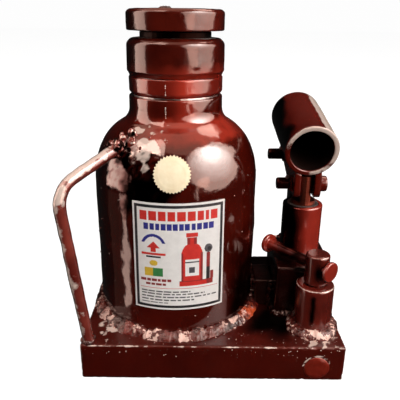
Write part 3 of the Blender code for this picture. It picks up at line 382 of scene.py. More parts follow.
def rounded(corners, closed=False, steps=4):
    """Fillets the corners of a profile; each corner is (radius, along, fillet radius)."""
    count = len(corners)
    points = []
    for i, (r, z, fillet) in enumerate(corners):
        here = Vector((r, z))
        if fillet <= 0 or (not closed and i in (0, count - 1)):
            points.append(here)
            continue
        before = Vector(corners[i - 1][:2]) - here
        after = Vector(corners[(i + 1) % count][:2]) - here
        reach = min(fillet, before.length * 0.45, after.length * 0.45)
        first, last = here + before.normalized() * reach, here + after.normalized() * reach
        for k in range(steps + 1):
            t = k / steps
            points.append(first * (1 - t) ** 2 + here * 2 * t * (1 - t) + last * t * t)
    return points


def dense(points, step, closed=False):
    """Splits a profile's long stretches so that no stretch is longer than step."""
    pairs = list(zip(points, points[1:] + points[:1]))
    result = []
    for first, second in pairs if closed else pairs[:-1]:
        parts = max(1, ceil((second - first).length / step - 1e-4))
        result += [first.lerp(second, k / parts) for k in range(parts)]
    return result if closed else result + [points[-1]]


def band(first, second, count):
    """Faces between two closed rings of vertices, which start at first and at second."""
    pairs = [(k, (k + 1) % count) for k in range(count)]
    return [(first + k, first + j, second + j, second + k) for k, j in pairs]


def skin(rings, sides, closed=False):
    """Faces over rings that follow each other in the list of vertices; open ends are capped."""
    faces = []
    for low in range(0, (rings - 1) * sides, sides):
        faces += band(low, low + sides, sides)
    last = (rings - 1) * sides
    if closed:
        return faces + band(last, 0, sides)
    return faces + [tuple(range(sides)), tuple(range(last, last + sides))]


def lathe(name, points, origin, material, body="root", node=None, axis=UP, segments=96, closed=False):
    """Turns (radius, along) points about an axis. An open profile starts and ends on it."""
    turn = axis.to_track_quat("Z", "Y").to_matrix()
    angles = [2 * pi * k / segments for k in range(segments)]
    verts, faces, rings = [], [], []
    for r, z in points:
        around = angles if r > 1e-3 else angles[:1]
        rings.append(range(len(verts), len(verts) + len(around)))
        verts += [origin + turn @ Vector((r * cos(a), r * sin(a), z)) for a in around]
    pairs = list(zip(rings, rings[1:] + rings[:1]))
    for low, high in pairs if closed else pairs[:-1]:
        if len(low) == len(high):
            faces += band(low[0], high[0], segments)
        else:
            tip, rim = (low[0], high) if len(low) == 1 else (high[0], low)
            faces += [(tip, rim[k - 1], rim[k]) for k in range(segments)]
    return add_piece(name, verts, faces, material, body, node=node)


def turned(name, node, corners, step, origin, material, body="root", steps=4, **shape):
    """A lathe piece that stands for a CAD node, from the corners of its open profile."""
    return lathe(name, dense(rounded(corners, steps=steps), step), origin, material, body, node, **shape)


def read_vertices(mesh):
    values = np.empty(len(mesh.vertices) * 3)
    mesh.vertices.foreach_get("co", values)
    return values.reshape(-1, 3) / MM


def write_vertices(mesh, places):
    mesh.vertices.foreach_set("co", (places * MM).ravel())
    mesh.update()


def relief(item, height):
    """Moves each vertex along its normal by height(place)."""
    mesh = item.data
    places = read_vertices(mesh)
    normals = np.empty(places.size)
    mesh.vertex_normals.foreach_get("vector", normals)
    heights = np.array([height(Vector(place)) for place in places])
    write_vertices(mesh, places + normals.reshape(-1, 3) * heights[:, None])
    return item


def mark(item, **levels):
    """Writes attributes that the enamel reads, from 0 to 1 at each vertex: name=level(place)."""
    places = [Vector(place) for place in read_vertices(item.data)]
    for name, level in levels.items():
        layer = item.data.attributes.new(name, "FLOAT", "POINT")
        layer.data.foreach_set("value", [clamp(level(place)) for place in places])
    return item


def ripple(place, size, seed=0.0):
    """Smooth noise from -1 to 1, whose swells are about size across."""
    return noise.noise(place / size + Vector((seed, seed, seed)))


def brushed(place, amount=1.0):
    """Uneven thickness of hand-brushed paint."""
    fine = 0.03 * ripple(place, 3.2, 9.7)
    return amount * (0.24 * ripple(place, 26) + 0.10 * ripple(place, 9, 5.2) + fine)


def turn_of(place, axis=RAM_AXIS):
    """Angle round an upright axis from the front, towards +X."""
    return atan2(place.x - axis.x, axis.y - place.y)


def side_of(place, axis=RAM_AXIS):
    return degrees(turn_of(place, axis))


def reach_of(place, axis=RAM_AXIS):
    """Distance from an upright axis."""
    return hypot(place.x - axis.x, place.y - axis.y)


def bell(distance, width):
    return exp(-((distance / width) ** 2))


def edge_ring(place, axis, radius, top, width=3.5):
    """1 on the upper rim of a turned piece, falling to 0 at width from it."""
    out = radius - reach_of(place, axis)
    return max(0.0, 1 - max(abs(out), abs(top - place.z)) / width)


def paint_run(place, axis, run):
    """Height of one run of paint down a turned surface: (turn, top, bottom, width, height)."""
    home, top, bottom, width, height = run
    if not bottom - 3 * width < place.z < top + 3 * width:
        return 0.0
    turn = turn_of(place, axis) - home - 0.03 * sin(place.z * 0.17)
    across = reach_of(place, axis) * atan2(sin(turn), cos(turn))
    if abs(across) > 4 * width:
        return 0.0
    along = clamp((place.z - bottom) / width + 1) * clamp((top - place.z) / (6 * width) + 0.3)
    tear = 0.9 * bell(place.z - bottom - width, 1.6 * width)
    return height * bell(across, width) * along * (1 + tear)


def melted(name, mesh, voxel, smooth):
    """The mesh remeshed into one fine skin and smoothed."""
    item = add_object(name, mesh)
    remesh = item.modifiers.new("skin", "REMESH")
    remesh.mode = "VOXEL"
    remesh.voxel_size = voxel * MM
    item.modifiers.new("soften", "SMOOTH").iterations = smooth
    graph = bpy.context.evaluated_depsgraph_get()
    item.data = bpy.data.meshes.new_from_object(item.evaluated_get(graph))
    item.modifiers.clear()
    return item


def painted_copy(name, node, material, body="root", voxel=0.8):
    """The CAD node's own shape remeshed finely, with its edges softened by thick paint."""
    item = melted(name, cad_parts[node].data.copy(), voxel, 6)
    dress(item, material, body, node)
    return relief(item, lambda place: brushed(place, 0.7))


# --- Base block ---


def grid_lines(low, high, edge, step):
    """Coordinates along one side: close together in the rounded edge, evenly spread between."""
    near = [edge * part for part in (0.0, 0.25, 0.55, 1.0)]
    count = max(1, round((high - low - 2 * edge) / step))
    inner = [low + edge + (high - low - 2 * edge) * k / count for k in range(1, count)]
    return [low + x for x in near] + inner + [high - x for x in reversed(near)]


def rounded_box(low, high, edge, step):
    """Vertices and faces of a box with rounded edges."""
    lines = [grid_lines(low[k], high[k], edge, step) for k in range(3)]
    verts, index, faces = [], {}, []

    def vertex(cell):
        if cell not in index:
            place = Vector([lines[k][cell[k]] for k in range(3)])
            inner = Vector([clamp(place[k], low[k] + edge, high[k] - edge) for k in range(3)])
            index[cell] = len(verts)
            verts.append(inner + (place - inner).normalized() * edge)
        return index[cell]

    for k in range(3):
        i, j = (k + 1) % 3, (k + 2) % 3
        for side in (0, len(lines[k]) - 1):
            for a in range(len(lines[i]) - 1):
                for b in range(len(lines[j]) - 1):
                    corners = []
                    for da, db in ((0, 0), (1, 0), (1, 1), (0, 1)):
                        cell = [0, 0, 0]
                        cell[k], cell[i], cell[j] = side, a + da, b + db
                        corners.append(vertex(tuple(cell)))
                    faces.append(corners)
    return verts, faces


def base_edge(place, width):
    """1 on an edge of the base block, falling to 0 at width from it."""
    gaps = sorted(min(place[k] - BASE_LOW[k], BASE_HIGH[k] - place[k]) for k in range(3))
    return max(0.0, 1.0 - gaps[1] / width)


def build_base():
    verts, faces = rounded_box(BASE_LOW, BASE_HIGH, 2.0, 2.2)
    base = add_piece("painted_base", verts, faces, BASE_PAINT, node="base_block")

    def height(place):
        chips = max(0.0, ripple(place, 5, 3.1) + 0.4 * ripple(place, 1.8, 8.0) - 0.1)
        level = 0.35 * brushed(place) + 0.05 * ripple(place, 4, 2.0)
        if place.z < BASE_LOW.z + 0.6:
            level = 0.0
        return level - 1.3 * base_edge(place, 6) * chips

    relief(base, height)
    center, radius = front_plug()
    pool_center = Vector((BASE_HIGH.x * 0.50, BASE_LOW.y * 0.50, BASE_TOP))
    splashes = (
        (Vector((VALVE_AXIS.x + 2, BASE_LOW.y + 14, BASE_TOP)), 26),
        (RAM_AXIS + outward(radians(-42)) * (BODY_RADIUS + 10) + UP * BASE_TOP, 24),
    )

    def wear(place):
        """Chipped edges, a painted highlight arc over the top of the plug, and splashes of weld spatter on
        the top.
        """
        chips = 0.70 + 0.55 * ripple(place, 16, 4.0) + 0.55 * ripple(place, 4, 1.0)
        across, up = place.x - center.x, place.z - center.z
        ring = bell(hypot(across, up) - radius - 1.2, 1.3)
        painted_highlight_arc = ring if up > 2 and place.y < BASE_LOW.y + 1 else 0.0
        splash = 0.0
        if place.z > BASE_TOP - 2:
            splash = max(1 - (place - spot).length / size for spot, size in splashes)
            splash = 0.8 * splash + 0.9 * ripple(place, 4, 9.0) if splash > 0 else 0.0
        return max(base_edge(place, 2.8) * chips, painted_highlight_arc * (0.75 + 0.6 * ripple(place, 4, 2.0)), splash)

    def oil_and_painted_shade(place):
        """Oil, dust and painted shade on top of the base: a dark pool between bottle and pump, and painted
        shade over the whole top, deepest at the back.
        """
        if place.z < BASE_TOP - 2:
            return 0.0
        blur = 14 * ripple(place, 17, 3.0)
        pool = 1.5 - ((place - pool_center).length + blur) / 26
        shade = 0.55 + 0.3 * ripple(place, 30, 5.0) + (place.y + blur) / 90
        return max(pool, min(1.0, shade))

    mark(base, wear=wear, soot=oil_and_painted_shade)


def front_plug():
    """Centre of the plug on the base's front face, and its radius."""
    low, high = node_box("base_plug_front")
    return Vector(((low.x + high.x) / 2, BASE_LOW.y, (low.z + high.z) / 2)), (high.x - low.x) / 2


def build_plugs():
    center, radius = front_plug()
    corners = [(0, 1, 0), (radius * 0.8, 1, 3), (radius * 1.04, 0.2, 1), (radius * 1.06, -2, 0), (0, -2, 0)]
    shape = {"axis": FRONT, "segments": 64}
    plug = turned("painted_front_plug", "base_plug_front", corners, 1.2, center, PLUG_PAINT, **shape)
    relief(plug, lambda place: brushed(place, 1.2) + 0.25 * ripple(place, 4, 4.4))
    painted_copy("painted_side_plug", "base_plug_side", BASE_PAINT)


# --- Reservoir ---


def shoulder_profile(steps, inset=0.0):
    """Points up the shoulder's quarter ellipse; inset gives its inner side."""
    center = Vector((BODY_RADIUS - SHOULDER_WIDTH, SHOULDER_Z))
    wide, tall = SHOULDER_WIDTH - inset, SHOULDER_HEIGHT - inset
    angles = [SHOULDER_END * k / steps for k in range(steps + 1)]
    return [center + Vector((wide * cos(a), tall * sin(a))) for a in angles]


def fillet_profile(steps):
    """Points round the hollow between shoulder and neck."""
    rise = atan2(SHOULDER_HEIGHT * cos(SHOULDER_END), SHOULDER_WIDTH * sin(SHOULDER_END))
    start = shoulder_profile(1)[-1]
    center = Vector((NECK_RADIUS + NECK_FILLET, start.y + NECK_FILLET * cos(rise)))
    first, last = 1.5 * pi - rise, pi
    angles = [first + (last - first) * k / steps for k in range(1, steps + 1)]
    return [center + NECK_FILLET * Vector((cos(a), sin(a))) for a in angles]


def body_runs():
    """Runs of paint down the neck and shoulder, spread round the bottle."""
    rng = random.Random(11)
    runs = [(NECK_RUN_TURN, 240, 212, 0.8, 0.5)]
    for k in range(16):
        turn = radians(-150 + 21 * k + rng.uniform(-7, 7))
        top = rng.uniform(150, 205)
        bottom = top - rng.uniform(14, 60)
        width, depth = rng.uniform(1.2, 2.4), rng.uniform(0.3, 0.6)
        if not radians(30) < turn < radians(75):
            runs.append((turn, top, bottom, width, depth))
    return runs


def build_reservoir():
    outer = [Vector((BODY_RADIUS, BODY_BOTTOM))] + shoulder_profile(28) + fillet_profile(10)
    neck = [(NECK_RADIUS, outer[-1].y + 1, 0), (NECK_RADIUS, NECK_TOP, 1.2), (NECK_BORE, NECK_TOP, 0)]
    outer += rounded(neck)
    inner = [point for point in shoulder_profile(6, BODY_WALL) if point.x > NECK_BORE + 2]
    inside = [Vector((NECK_BORE, inner[-1].y + 1))] + inner[::-1]
    inside += [Vector((BODY_RADIUS - BODY_WALL, BODY_BOTTOM))]
    points = dense(outer, 2.4) + dense(inside, 30)
    shell = lathe(
        "painted_reservoir", points, RAM_AXIS, BODY_PAINT, node="reservoir_shell", segments=168, closed=True
    )
    runs = body_runs()

    def height(place):
        out = reach_of(place)
        if out < NECK_BORE + 1 or (place.z < SHOULDER_Z and out < BODY_RADIUS - 0.5 * BODY_WALL):
            return 0.0
        under_label = abs(turn_of(place) - LABEL_TURN) < LABEL_HALF_ANGLE * 1.1 and place.z < LABEL_TOP + 4
        drip = sum(paint_run(place, RAM_AXIS, run) for run in runs)
        return (0.25 if under_label else 1) * (brushed(place, 1.5) + 0.4 * ripple(place, 48, 1.5) + drip)

    relief(shell, height)
    burn = handle_point(HANDLE_END)
    heart = burn + Vector((9, -4, -8))

    def soot(place):
        """Burnt paint: veins round the handle's weld and a stain beside it; and painted shade low on the
        right side of the bottle.
        """
        near = (place - heart).length
        turn = turn_of(place)
        blur = 10 * ripple(place, 9, 8.8) + 4 * ripple(place, 3.4, 1.7)
        veins = 0.0
        if near + blur < 34 and place.z < CROWN_Z - 3:
            veins = 1 - abs(ripple(place, 7, 2.9)) / 0.11
        core = (11 - near - 1.4 * blur) / 3
        across = max(0.0, abs((turn + 0.30) * BODY_RADIUS) - 12) / 14
        along = max(0.0, abs(place.z - 160) - 9) / 12
        stain = 1.6 - 1.6 * hypot(across, along) + blur / 8
        # Painted shade, low on the right side of the bottle
        shade = min(1.0, (turn - 0.62) / 0.3) * (124 - place.z + 1.5 * blur) / 60
        return max(veins, core, stain, min(0.85, shade) if turn > 0.62 else 0.0)

    def bare(place):
        """Primer shows in ragged patches beside the handle's weld."""
        off = place - burn
        reach = hypot((off.x - 21) / 17, (off.z - 1) / 15)
        patch = 1.5 - 1.3 * reach + 1.5 * ripple(place, 7, 5.5)
        return patch if place.y < RAM_AXIS.y and reach < 1.4 else 0.0

    def fresh(place):
        """The thick fresh coat round the top of the shoulder, ragged along its lower edge and kept to the lit
        right front, so that it is partly painted light; on the neck, bands of painted reflection.
        """
        blur = 5 * ripple(place, 13, 4.1) + 2 * ripple(place, 4, 0.6)
        low = (place.z - CROWN_Z + blur) / 5
        high = (CROWN_Z + 22 - place.z + blur) / 6
        side = (75 - abs(side_of(place) - 38)) / 25
        coat = clamp(min(low, high, side)) * (0.75 + 0.6 * ripple(place, 20, 3))
        neck = 0.5 * painted_reflection_bands(place) if place.z > NECK_TOP - 20 else 0.0
        return max(0.62 * coat, neck)

    mark(shell, soot=soot, wear=bare, fresh=fresh)


# --- Weld beads ---

BEAD_LEAN = radians(48)


def weld_bead(name, path, width, height, seed, paint=WELD_PAINT, ring=False, node=None):
    """A rough weld: overlapping ripples swept along a path of (centre, up, across), standing up."""
    around = 22
    travelled, verts, last = 0.0, [], path[0][0]
    for center, up, across in path:
        travelled += (center - last).length
        last = center
        swell = 1 + 0.30 * ripple(center, 9, seed) + 0.16 * ripple(center, 3, seed + 4)
        for k in range(around):
            angle = 2 * pi * k / around
            side, rise = cos(angle), sin(angle)
            crescent = travelled + 1.6 * side * side + 3 * ripple(center, 7, seed)
            scallop = abs(sin(pi * crescent / 3.2))
            lift = height * swell * (0.95 + 0.05 * scallop) if rise > 0 else 0.4 * height
            verts.append(center + across * side * width * swell + up * rise * lift)
    faces = skin(len(path), around, ring)

    def rough(place):
        crags = 1 - 2.4 * abs(ripple(place, 5.5, seed)) - abs(ripple(place, 2.1, seed + 5))
        return crags + 0.7 * ripple(place, 6, seed + 2)

    return relief(add_piece(name, verts, faces, paint, node=node), rough)


def ring_path(axis, radius, z, count):
    """A bead's path round an upright axis, leaning outwards."""
    path = []
    for k in range(count):
        angle = 2 * pi * k / count
        out = Vector((cos(angle), sin(angle), 0))
        up = UP * cos(BEAD_LEAN) + out * sin(BEAD_LEAN)
        across = out * cos(BEAD_LEAN) - UP * sin(BEAD_LEAN)
        path.append((axis + UP * z + out * radius, up, across))
    return path


def straight_path(start, end, up, across, count):
    up, across = up.normalized(), across.normalized()
    return [(start.lerp(end, k / (count - 1)), up, across) for k in range(count)]


def build_welds():
    path = ring_path(RAM_AXIS, BODY_RADIUS + 3.8, BASE_TOP + 1.8, 720)
    seam = weld_bead("reservoir_weld_bead", path, 6.2, 2.9, 2.0, ring=True, node="reservoir_weld")
    places = read_vertices(seam.data)
    places[:, 0] = np.maximum(places[:, 0], node_box("reservoir_weld")[0].x)
    places[:, 2] = np.maximum(places[:, 2], BASE_TOP - 2)
    write_vertices(seam.data, places)

    # Pale flakes at the front left and the front middle of the bead are painted glints.
    def painted_glints(place):
        left, middle = 1.1 - abs(side_of(place) + 48) / 14, 1.1 - abs(side_of(place) - 8) / 17
        return max(left, middle) + 0.5 * ripple(place, 9, 4.0)

    mark(seam, fresh=lambda place: 1.1 - abs(side_of(place) - 62) / 20, wear=painted_glints)
    boss = node_radius("valve_housing")
    path = ring_path(VALVE_AXIS, boss + 2.0, BASE_TOP + 2.0, 170)
    bead = weld_bead("boss_weld_bead", path, 5.2, 4.0, 7.0, ring=True)
    front = VALVE_AXIS.y - boss * 0.6
    # Pale flakes on the front of the bead are painted glints.
    mark(bead, wear=lambda place: 1.0 if place.y < front else 0.2)
    low, high = node_box("pump_block")
    foot = BASE_TOP + 1.2
    sides = ((low.x, low.y), (high.x, low.y), (high.x, high.y), (low.x, high.y))
    corners = [Vector((x, y, foot)) for x, y in sides]
    middle = (corners[0] + corners[2]) / 2
    for k, (start, end) in enumerate(zip(corners, corners[1:] + corners[:1])):
        out = ((start + end) / 2 - middle).normalized()
        path = straight_path(start, end, UP + out, out - UP, 90)
        weld_bead(f"block_weld_bead_{k + 1}", path, 3.4, 2.8, 3.0 + k, BLOCK_SHADE_PAINT)
    low, high = node_box("suction_bridge")
    top = Vector((high.x - 1, low.y, high.z + 1))
    path = straight_path(top, Vector((top.x, top.y, foot)), FRONT, Vector((1, 0, 0)), 60)
    weld_bead("bridge_weld_bead", path, 4.0, 3.2, 12.0, BLOCK_SHADE_PAINT)


def lumps(name, spots, seed, body="root", paint=WELD_PAINT, rough=0.9):
    """Weld metal and spatter: noisy balls melted together into one crust: (centre, radii)."""
    builder = bmesh.new()
    for center, radii in spots:
        ball = bmesh.ops.create_icosphere(builder, subdivisions=3, radius=1.0)
        for vert in ball["verts"]:
            swell = 1 + 0.3 * noise.noise(vert.co * 1.7 + Vector((seed, 0, center.x * 0.9)))
            vert.co = (center + vert.co * Vector(radii) * swell) * MM
    mesh = bpy.data.meshes.new(name)
    builder.to_mesh(mesh)
    builder.free()
    item = dress(melted(name, mesh, 0.6, 3), paint, body)

    def crags(place):
        ridge = 1 - 2.4 * abs(ripple(place, 3.0, seed))
        return rough * (0.5 * ridge + 0.5 * ripple(place, 1.3, seed + 3))

    return relief(item, crags)


# --- Carrying handle ---

# How far the lumps round the handle's foot lie from the bar's axis, before they are scattered
FOOT_CRUST_REACH = 3.1246


def handle_point(flat):
    return RAM_AXIS + HANDLE_OUT * flat.x + UP * flat.y


def handle_route():
    """Centres along the bar, from its foot round the bend to its upper end."""
    up = (HANDLE_CORNER - HANDLE_FOOT).normalized()
    inward = (HANDLE_END - HANDLE_CORNER).normalized()
    half = up.angle(inward) / 2
    side = Vector((-up.y, up.x))
    center = HANDLE_CORNER - up * HANDLE_BEND * tan(half) + side * HANDLE_BEND
    turns = [2 * half * k / 16 for k in range(17)]
    bend = [center + HANDLE_BEND * (up * sin(turn) - side * cos(turn)) for turn in turns]
    return [handle_point(point) for point in dense([HANDLE_FOOT, *bend, HANDLE_END], 2)]


def tube(route, radius, sides=28):
    """Vertices and faces of a round bar along a route in one upright plane."""
    verts = []
    count = len(route)
    plane = (route[-1] - route[0]).cross(UP).normalized()
    for k, center in enumerate(route):
        along = (route[min(k + 1, count - 1)] - route[max(k - 1, 0)]).normalized()
        across = along.cross(plane).normalized()
        for s in range(sides):
            a = 2 * pi * s / sides
            verts.append(center + radius * (plane * cos(a) + across * sin(a)))
    return verts, skin(count, sides)


def build_handle():
    route = handle_route()
    verts, faces = tube(route, HANDLE_RADIUS)
    bar = add_piece("painted_handle", verts, faces, HANDLE_PAINT, node="carry_handle")
    relief(
        bar, lambda place: brushed(place, 1.3) + 0.35 * ripple(place, 11, 6.0) + 0.18 * ripple(place, 3, 2.2)
    )
    end, corner = handle_point(HANDLE_END), handle_point(HANDLE_CORNER)

    def worn_and_painted_highlight(place):
        """Paint worn pale where a hand carries the jack, with a painted highlight along the upper and left
        side of the grip and in a streak up the outer side.
        """
        offset = place - min(route, key=lambda center: (center - place).length_squared)
        upper, left = offset.z / HANDLE_RADIUS, -offset.x / HANDLE_RADIUS
        blur = 0.5 * ripple(place, 12, 5.0) + 0.3 * ripple(place, 4, 1.0)
        grip = clamp((place.z - corner.z + 26) / 16)
        near_end = 0.5 if (place - end).length < 14 else 0
        top = grip * (0.50 + 0.62 * max(upper, 0.7 * left) + blur) - near_end
        return max(top, 0.45 + 0.42 * left + 0.9 * blur)

    mark(bar, wear=worn_and_painted_highlight)


def build_handle_welds():
    """Crusts of weld metal round both ends of the handle, with lumps scattered on the shoulder."""
    end, foot = handle_point(HANDLE_END), handle_point(HANDLE_FOOT)
    side = HANDLE_OUT.cross(UP)
    spots = []
    for k in range(9):
        turn = 2 * pi * k / 9
        place = end + (side * cos(turn) + UP * sin(turn)) * HANDLE_RADIUS * 1.05
        spots.append((place + HANDLE_OUT * (1.5 + 2.2 * sin(3 * turn)), (3.2, 3.0, 3.4)))
    rng = random.Random(8)
    for k in range(16):
        spread = abs(rng.gauss(0, 7.0)) + 4
        angle = rng.uniform(0, 2 * pi)
        z = end.z + spread * sin(angle) * 0.9 - 2
        radius = body_radius_at(z) - 1.8
        turn = turn_of(end) + (spread * cos(angle) + 2) / radius
        size = rng.uniform(2.2, 3.8) * (1.15 - 0.03 * spread)
        spots.append((RAM_AXIS + outward(turn) * radius + UP * z, (size * 1.1, size * 0.8, size * 1.8)))
    crust = lumps("handle_top_weld", spots, 4, paint=HANDLE_PAINT, rough=0.25)
    mark(
        crust,
        soot=lambda place: 0.65 + 1.5 * ripple(place, 4, 3.0),
        wear=lambda place: 0.30 + 0.9 * ripple(place, 3, 1.0),
    )
    spots = []
    for k in range(8):
        turn = 2 * pi * k / 8
        reach = FOOT_CRUST_REACH * (1.0 + 0.25 * sin(2.3 * k))
        place = foot + (side * cos(turn) + HANDLE_OUT * sin(turn)) * reach
        spots.append((Vector((place.x, place.y, BASE_TOP + 1.2)), (3.0, 3.0, 2.8)))
    lumps("handle_foot_weld", spots, 9)


# --- Label and seal ---

LABEL_CELL = 0.4
LABEL_THICK = 0.8
LABEL_FRONT = BODY_RADIUS + 1.1
# Borders and round signs count v this much more than u
TALL = 1.14


def word_rows():
    """Grey dashes that stand for five lines of small print: (low v, high v, [(start, end)])."""
    rng = random.Random(5)
    rows = []
    for k, length in enumerate((0.62, 0.78, 0.92, 0.66, 0.38)):
        top = 0.815 + 0.028 * k
        words, place = [], 0.085
        while place < length:
            width = rng.uniform(0.025, 0.085)
            words.append((place, min(place + width, length)))
            place += width + 0.014
        rows.append((top, top + 0.012, words))
    return rows


PRINT_ROWS = word_rows()
# Rows of solid blocks in place of words: (ink, low v, high v, first u, gap, widths)
BLOCK_ROWS = (
    ("red", 0.072, 0.156, 0.085, 0.021, (0.074, 0.082, 0.078, 0.076, 0.090, 0.080, 0.066, 0.034, 0.080)),
    ("blue", 0.182, 0.238, 0.125, 0.014, (0.052, 0.046, 0.044, 0.050, 0.048, 0.052, 0.044, 0.048)),
    ("blue", 0.182, 0.238, 0.631, 0.014, (0.040, 0.054, 0.050, 0.052)),
    ("maroon", 0.700, 0.722, 0.075, 0.012, (0.062, 0.04, 0.055, 0.03, 0.05, 0.04)),
    ("maroon", 0.742, 0.762, 0.135, 0.012, (0.05, 0.04, 0.06, 0.035)),
)


def in_blocks(u, start, gap, widths):
    for width in widths:
        if start <= u < start + width:
            return True
        start += width + gap
    return False


def jack_sign(u, v):
    """A plain little bottle jack, drawn as the silhouette of its main masses."""
    across = abs(u - 0.635)
    if 0.715 < v < 0.765 and 0.50 < u < 0.87:
        return "red" if v > 0.725 and u < 0.80 else "maroon"
    if 0.265 < v < 0.30 and across < 0.062:
        return "red"
    if 0.305 < v < 0.37 and across < 0.05:
        return "maroon" if across > 0.02 else "red"
    if 0.37 < v < 0.45 and across < 0.05 + 0.065 * sqrt((v - 0.37) / 0.08):
        return "red"
    if 0.45 <= v < 0.715 and across < 0.115:
        if 0.51 < v < 0.67 and across < 0.075:
            return "text" if 0.53 < v < 0.545 or 0.585 < v < 0.64 and across < 0.03 else "paper"
        return "maroon" if across > 0.092 else "red"
    if hypot(u - 0.815, (v - 0.42) * TALL) < 0.045:
        return "text" if hypot(u - 0.825, (v - 0.425) * TALL) > 0.022 else "frame"
    if 0.46 <= v < 0.715 and abs(u - 0.815) < 0.022:
        return "maroon" if v < 0.6 else "frame"
    return "maroon" if 0.64 <= v < 0.715 and abs(u - 0.86) < 0.018 else None


def lift_sign(u, v):
    """Generic signs: an arrow that lifts a bar under an arch, and two patches of colour."""
    across = abs(u - 0.225)
    if v < 0.36 and 0.105 < hypot(across, (v - 0.395) * TALL) < 0.135:
        return "blue"
    arrow = 0.345 < v < 0.405 and across < (v - 0.345) * 1.2
    shaft = 0.405 <= v < 0.445 and across < 0.03
    if arrow or shaft or (0.452 < v < 0.472 and across < 0.13):
        return "red"
    if 0.482 < v < 0.498 and across < 0.08:
        return "frame"
    if hypot(across / 1.5, (v - 0.548) * TALL) < 0.030:
        return "amber"
    if 0.595 < v < 0.672 and 0.125 < u < 0.325:
        return "amber" if u < 0.215 else "green"
    return None


def ink_at(u, v):
    """Which ink lies at a place of the label: u from its left edge, v from its top."""
    edge = min(u, 1 - u, (1 - v) * TALL, v * TALL)
    if edge < 0.050:
        return "paper" if edge < 0.020 else "frame"
    for ink, top, bottom, *blocks in BLOCK_ROWS:
        if top < v < bottom and in_blocks(u, *blocks):
            return ink
    if 0.785 < v < 0.79 and 0.07 < u < 0.93:
        return "red"
    for top, bottom, words in PRINT_ROWS:
        if top < v < bottom and any(start < u < end for start, end in words):
            return "text"
    return jack_sign(u, v) or lift_sign(u, v) or "paper"


def build_label():
    columns = round(2 * LABEL_HALF_ANGLE * LABEL_FRONT / LABEL_CELL)
    rows = round((LABEL_TOP - LABEL_BOTTOM) / LABEL_CELL)

    def place(i, j, radius):
        turn = LABEL_TURN + LABEL_HALF_ANGLE * (2 * i / columns - 1)
        z = LABEL_TOP - (LABEL_TOP - LABEL_BOTTOM) * j / rows
        return RAM_AXIS + outward(turn) * radius + UP * z

    cells = [(i, j) for j in range(rows + 1) for i in range(columns + 1)]
    verts = [place(i, j, LABEL_FRONT + 0.05 * ripple(place(i, j, LABEL_FRONT), 12)) for i, j in cells]
    verts += [place(i, j, LABEL_FRONT - LABEL_THICK) for i, j in cells]
    behind, across = len(cells), columns + 1
    names = list(INKS)
    faces, inks = [], []
    for j in range(rows):
        for i in range(columns):
            corner = j * across + i
            square = (corner, corner + 1, corner + across + 1, corner + across)
            faces += [square, tuple(behind + c for c in reversed(square))]
            inks += [names.index(ink_at((i + 0.5) / columns, (j + 0.5) / rows)), 0]
    rim = list(range(across)) + [j * across + columns for j in range(1, rows + 1)]
    rim += [rows * across + i for i in range(columns - 1, -1, -1)]
    rim += [j * across for j in range(rows - 1, 0, -1)]
    for first, second in zip(rim, rim[1:] + rim[:1]):
        faces.append((first, second, behind + second, behind + first))
        inks.append(0)
    label = add_piece(
        "printed_label", verts, faces, INKS["paper"], node="label_sheet", sharp=40
    )
    for name in names[1:]:
        label.data.materials.append(INKS[name])
    label.data.polygons.foreach_set("material_index", inks)


def body_radius_at(z):
    if z <= SHOULDER_Z:
        return BODY_RADIUS
    slope = asin(min(1.0, (z - SHOULDER_Z) / SHOULDER_HEIGHT))
    return BODY_RADIUS - SHOULDER_WIDTH * (1 - cos(slope))


def build_seal():
    """A round paper seal with a pinked edge, draped on the shoulder."""
    teeth, rings = 34, 14
    segments = teeth * 4
    verts, faces = [], []
    slope = asin((SEAL_HEIGHT - SHOULDER_Z) / SHOULDER_HEIGHT)
    steep = atan2(SHOULDER_WIDTH * sin(slope), SHOULDER_HEIGHT * cos(slope))

    def draped(reach, angle, lift):
        z = SEAL_HEIGHT + reach * sin(angle) * cos(steep)
        radius = body_radius_at(z) + lift
        return RAM_AXIS + outward(reach * cos(angle) / radius) * radius + UP * z

    for height, emboss in ((1.15, 0.25), (0.2, 0.0)):
        base = len(verts)
        verts.append(draped(0, 0, height))
        for ring in range(1, rings + 1):
            part = ring / rings
            lift = height + emboss * bell(part - 0.78, 0.05)
            for k in range(segments):
                tooth = 1 + 0.045 * (abs((k % 4) - 2) - 1) * part**8
                verts.append(draped(SEAL_RADIUS * part * tooth, 2 * pi * k / segments, lift))
        faces += [(base, base + 1 + k, base + 1 + (k + 1) % segments) for k in range(segments)]
        for low in range(base + 1, len(verts) - segments, segments):
            faces += band(low, low + segments, segments)
    front_rim = 1 + (rings - 1) * segments
    faces += band(front_rim, len(verts) // 2 + front_rim, segments)
    seal = add_piece("paper_seal", verts, faces, SEAL_PAPER, node="round_seal", sharp=50)
    relief(seal, lambda place: 0.05 * ripple(place, 5, 7.0))


# --- Ram, nuts and saddle ---


def hollow(name, node, corners, paint, amount, run, segments=120):
    """A painted sleeve that stands for an upright turned node, with one run of paint down it."""
    axis = node_axis(node)
    points = dense(rounded(corners, closed=True), 1.2, closed=True)
    item = lathe(name, points, axis, paint, node=node, segments=segments, closed=True)
    inner = min(point.x for point in points) + 0.4

    def height(place):
        if reach_of(place, axis) < inner:
            return 0.0
        return brushed(place, amount) + paint_run(place, axis, run)

    return relief(item, height)


def painted_reflection_bands(place):
    """Two bands of painted reflection either side of a darker strip at the front, and an even, brighter red
    round the back.
    """
    turn = side_of(place) + 5 * ripple(place, 12, 9.1)
    bands = bell(turn + 40, 11) + bell(turn - 16, 15)
    return max(bands, 0.55 * clamp((abs(turn) - 75) / 30))


CYLINDER_BORE = node_radius("ram_cylinder") + 0.3


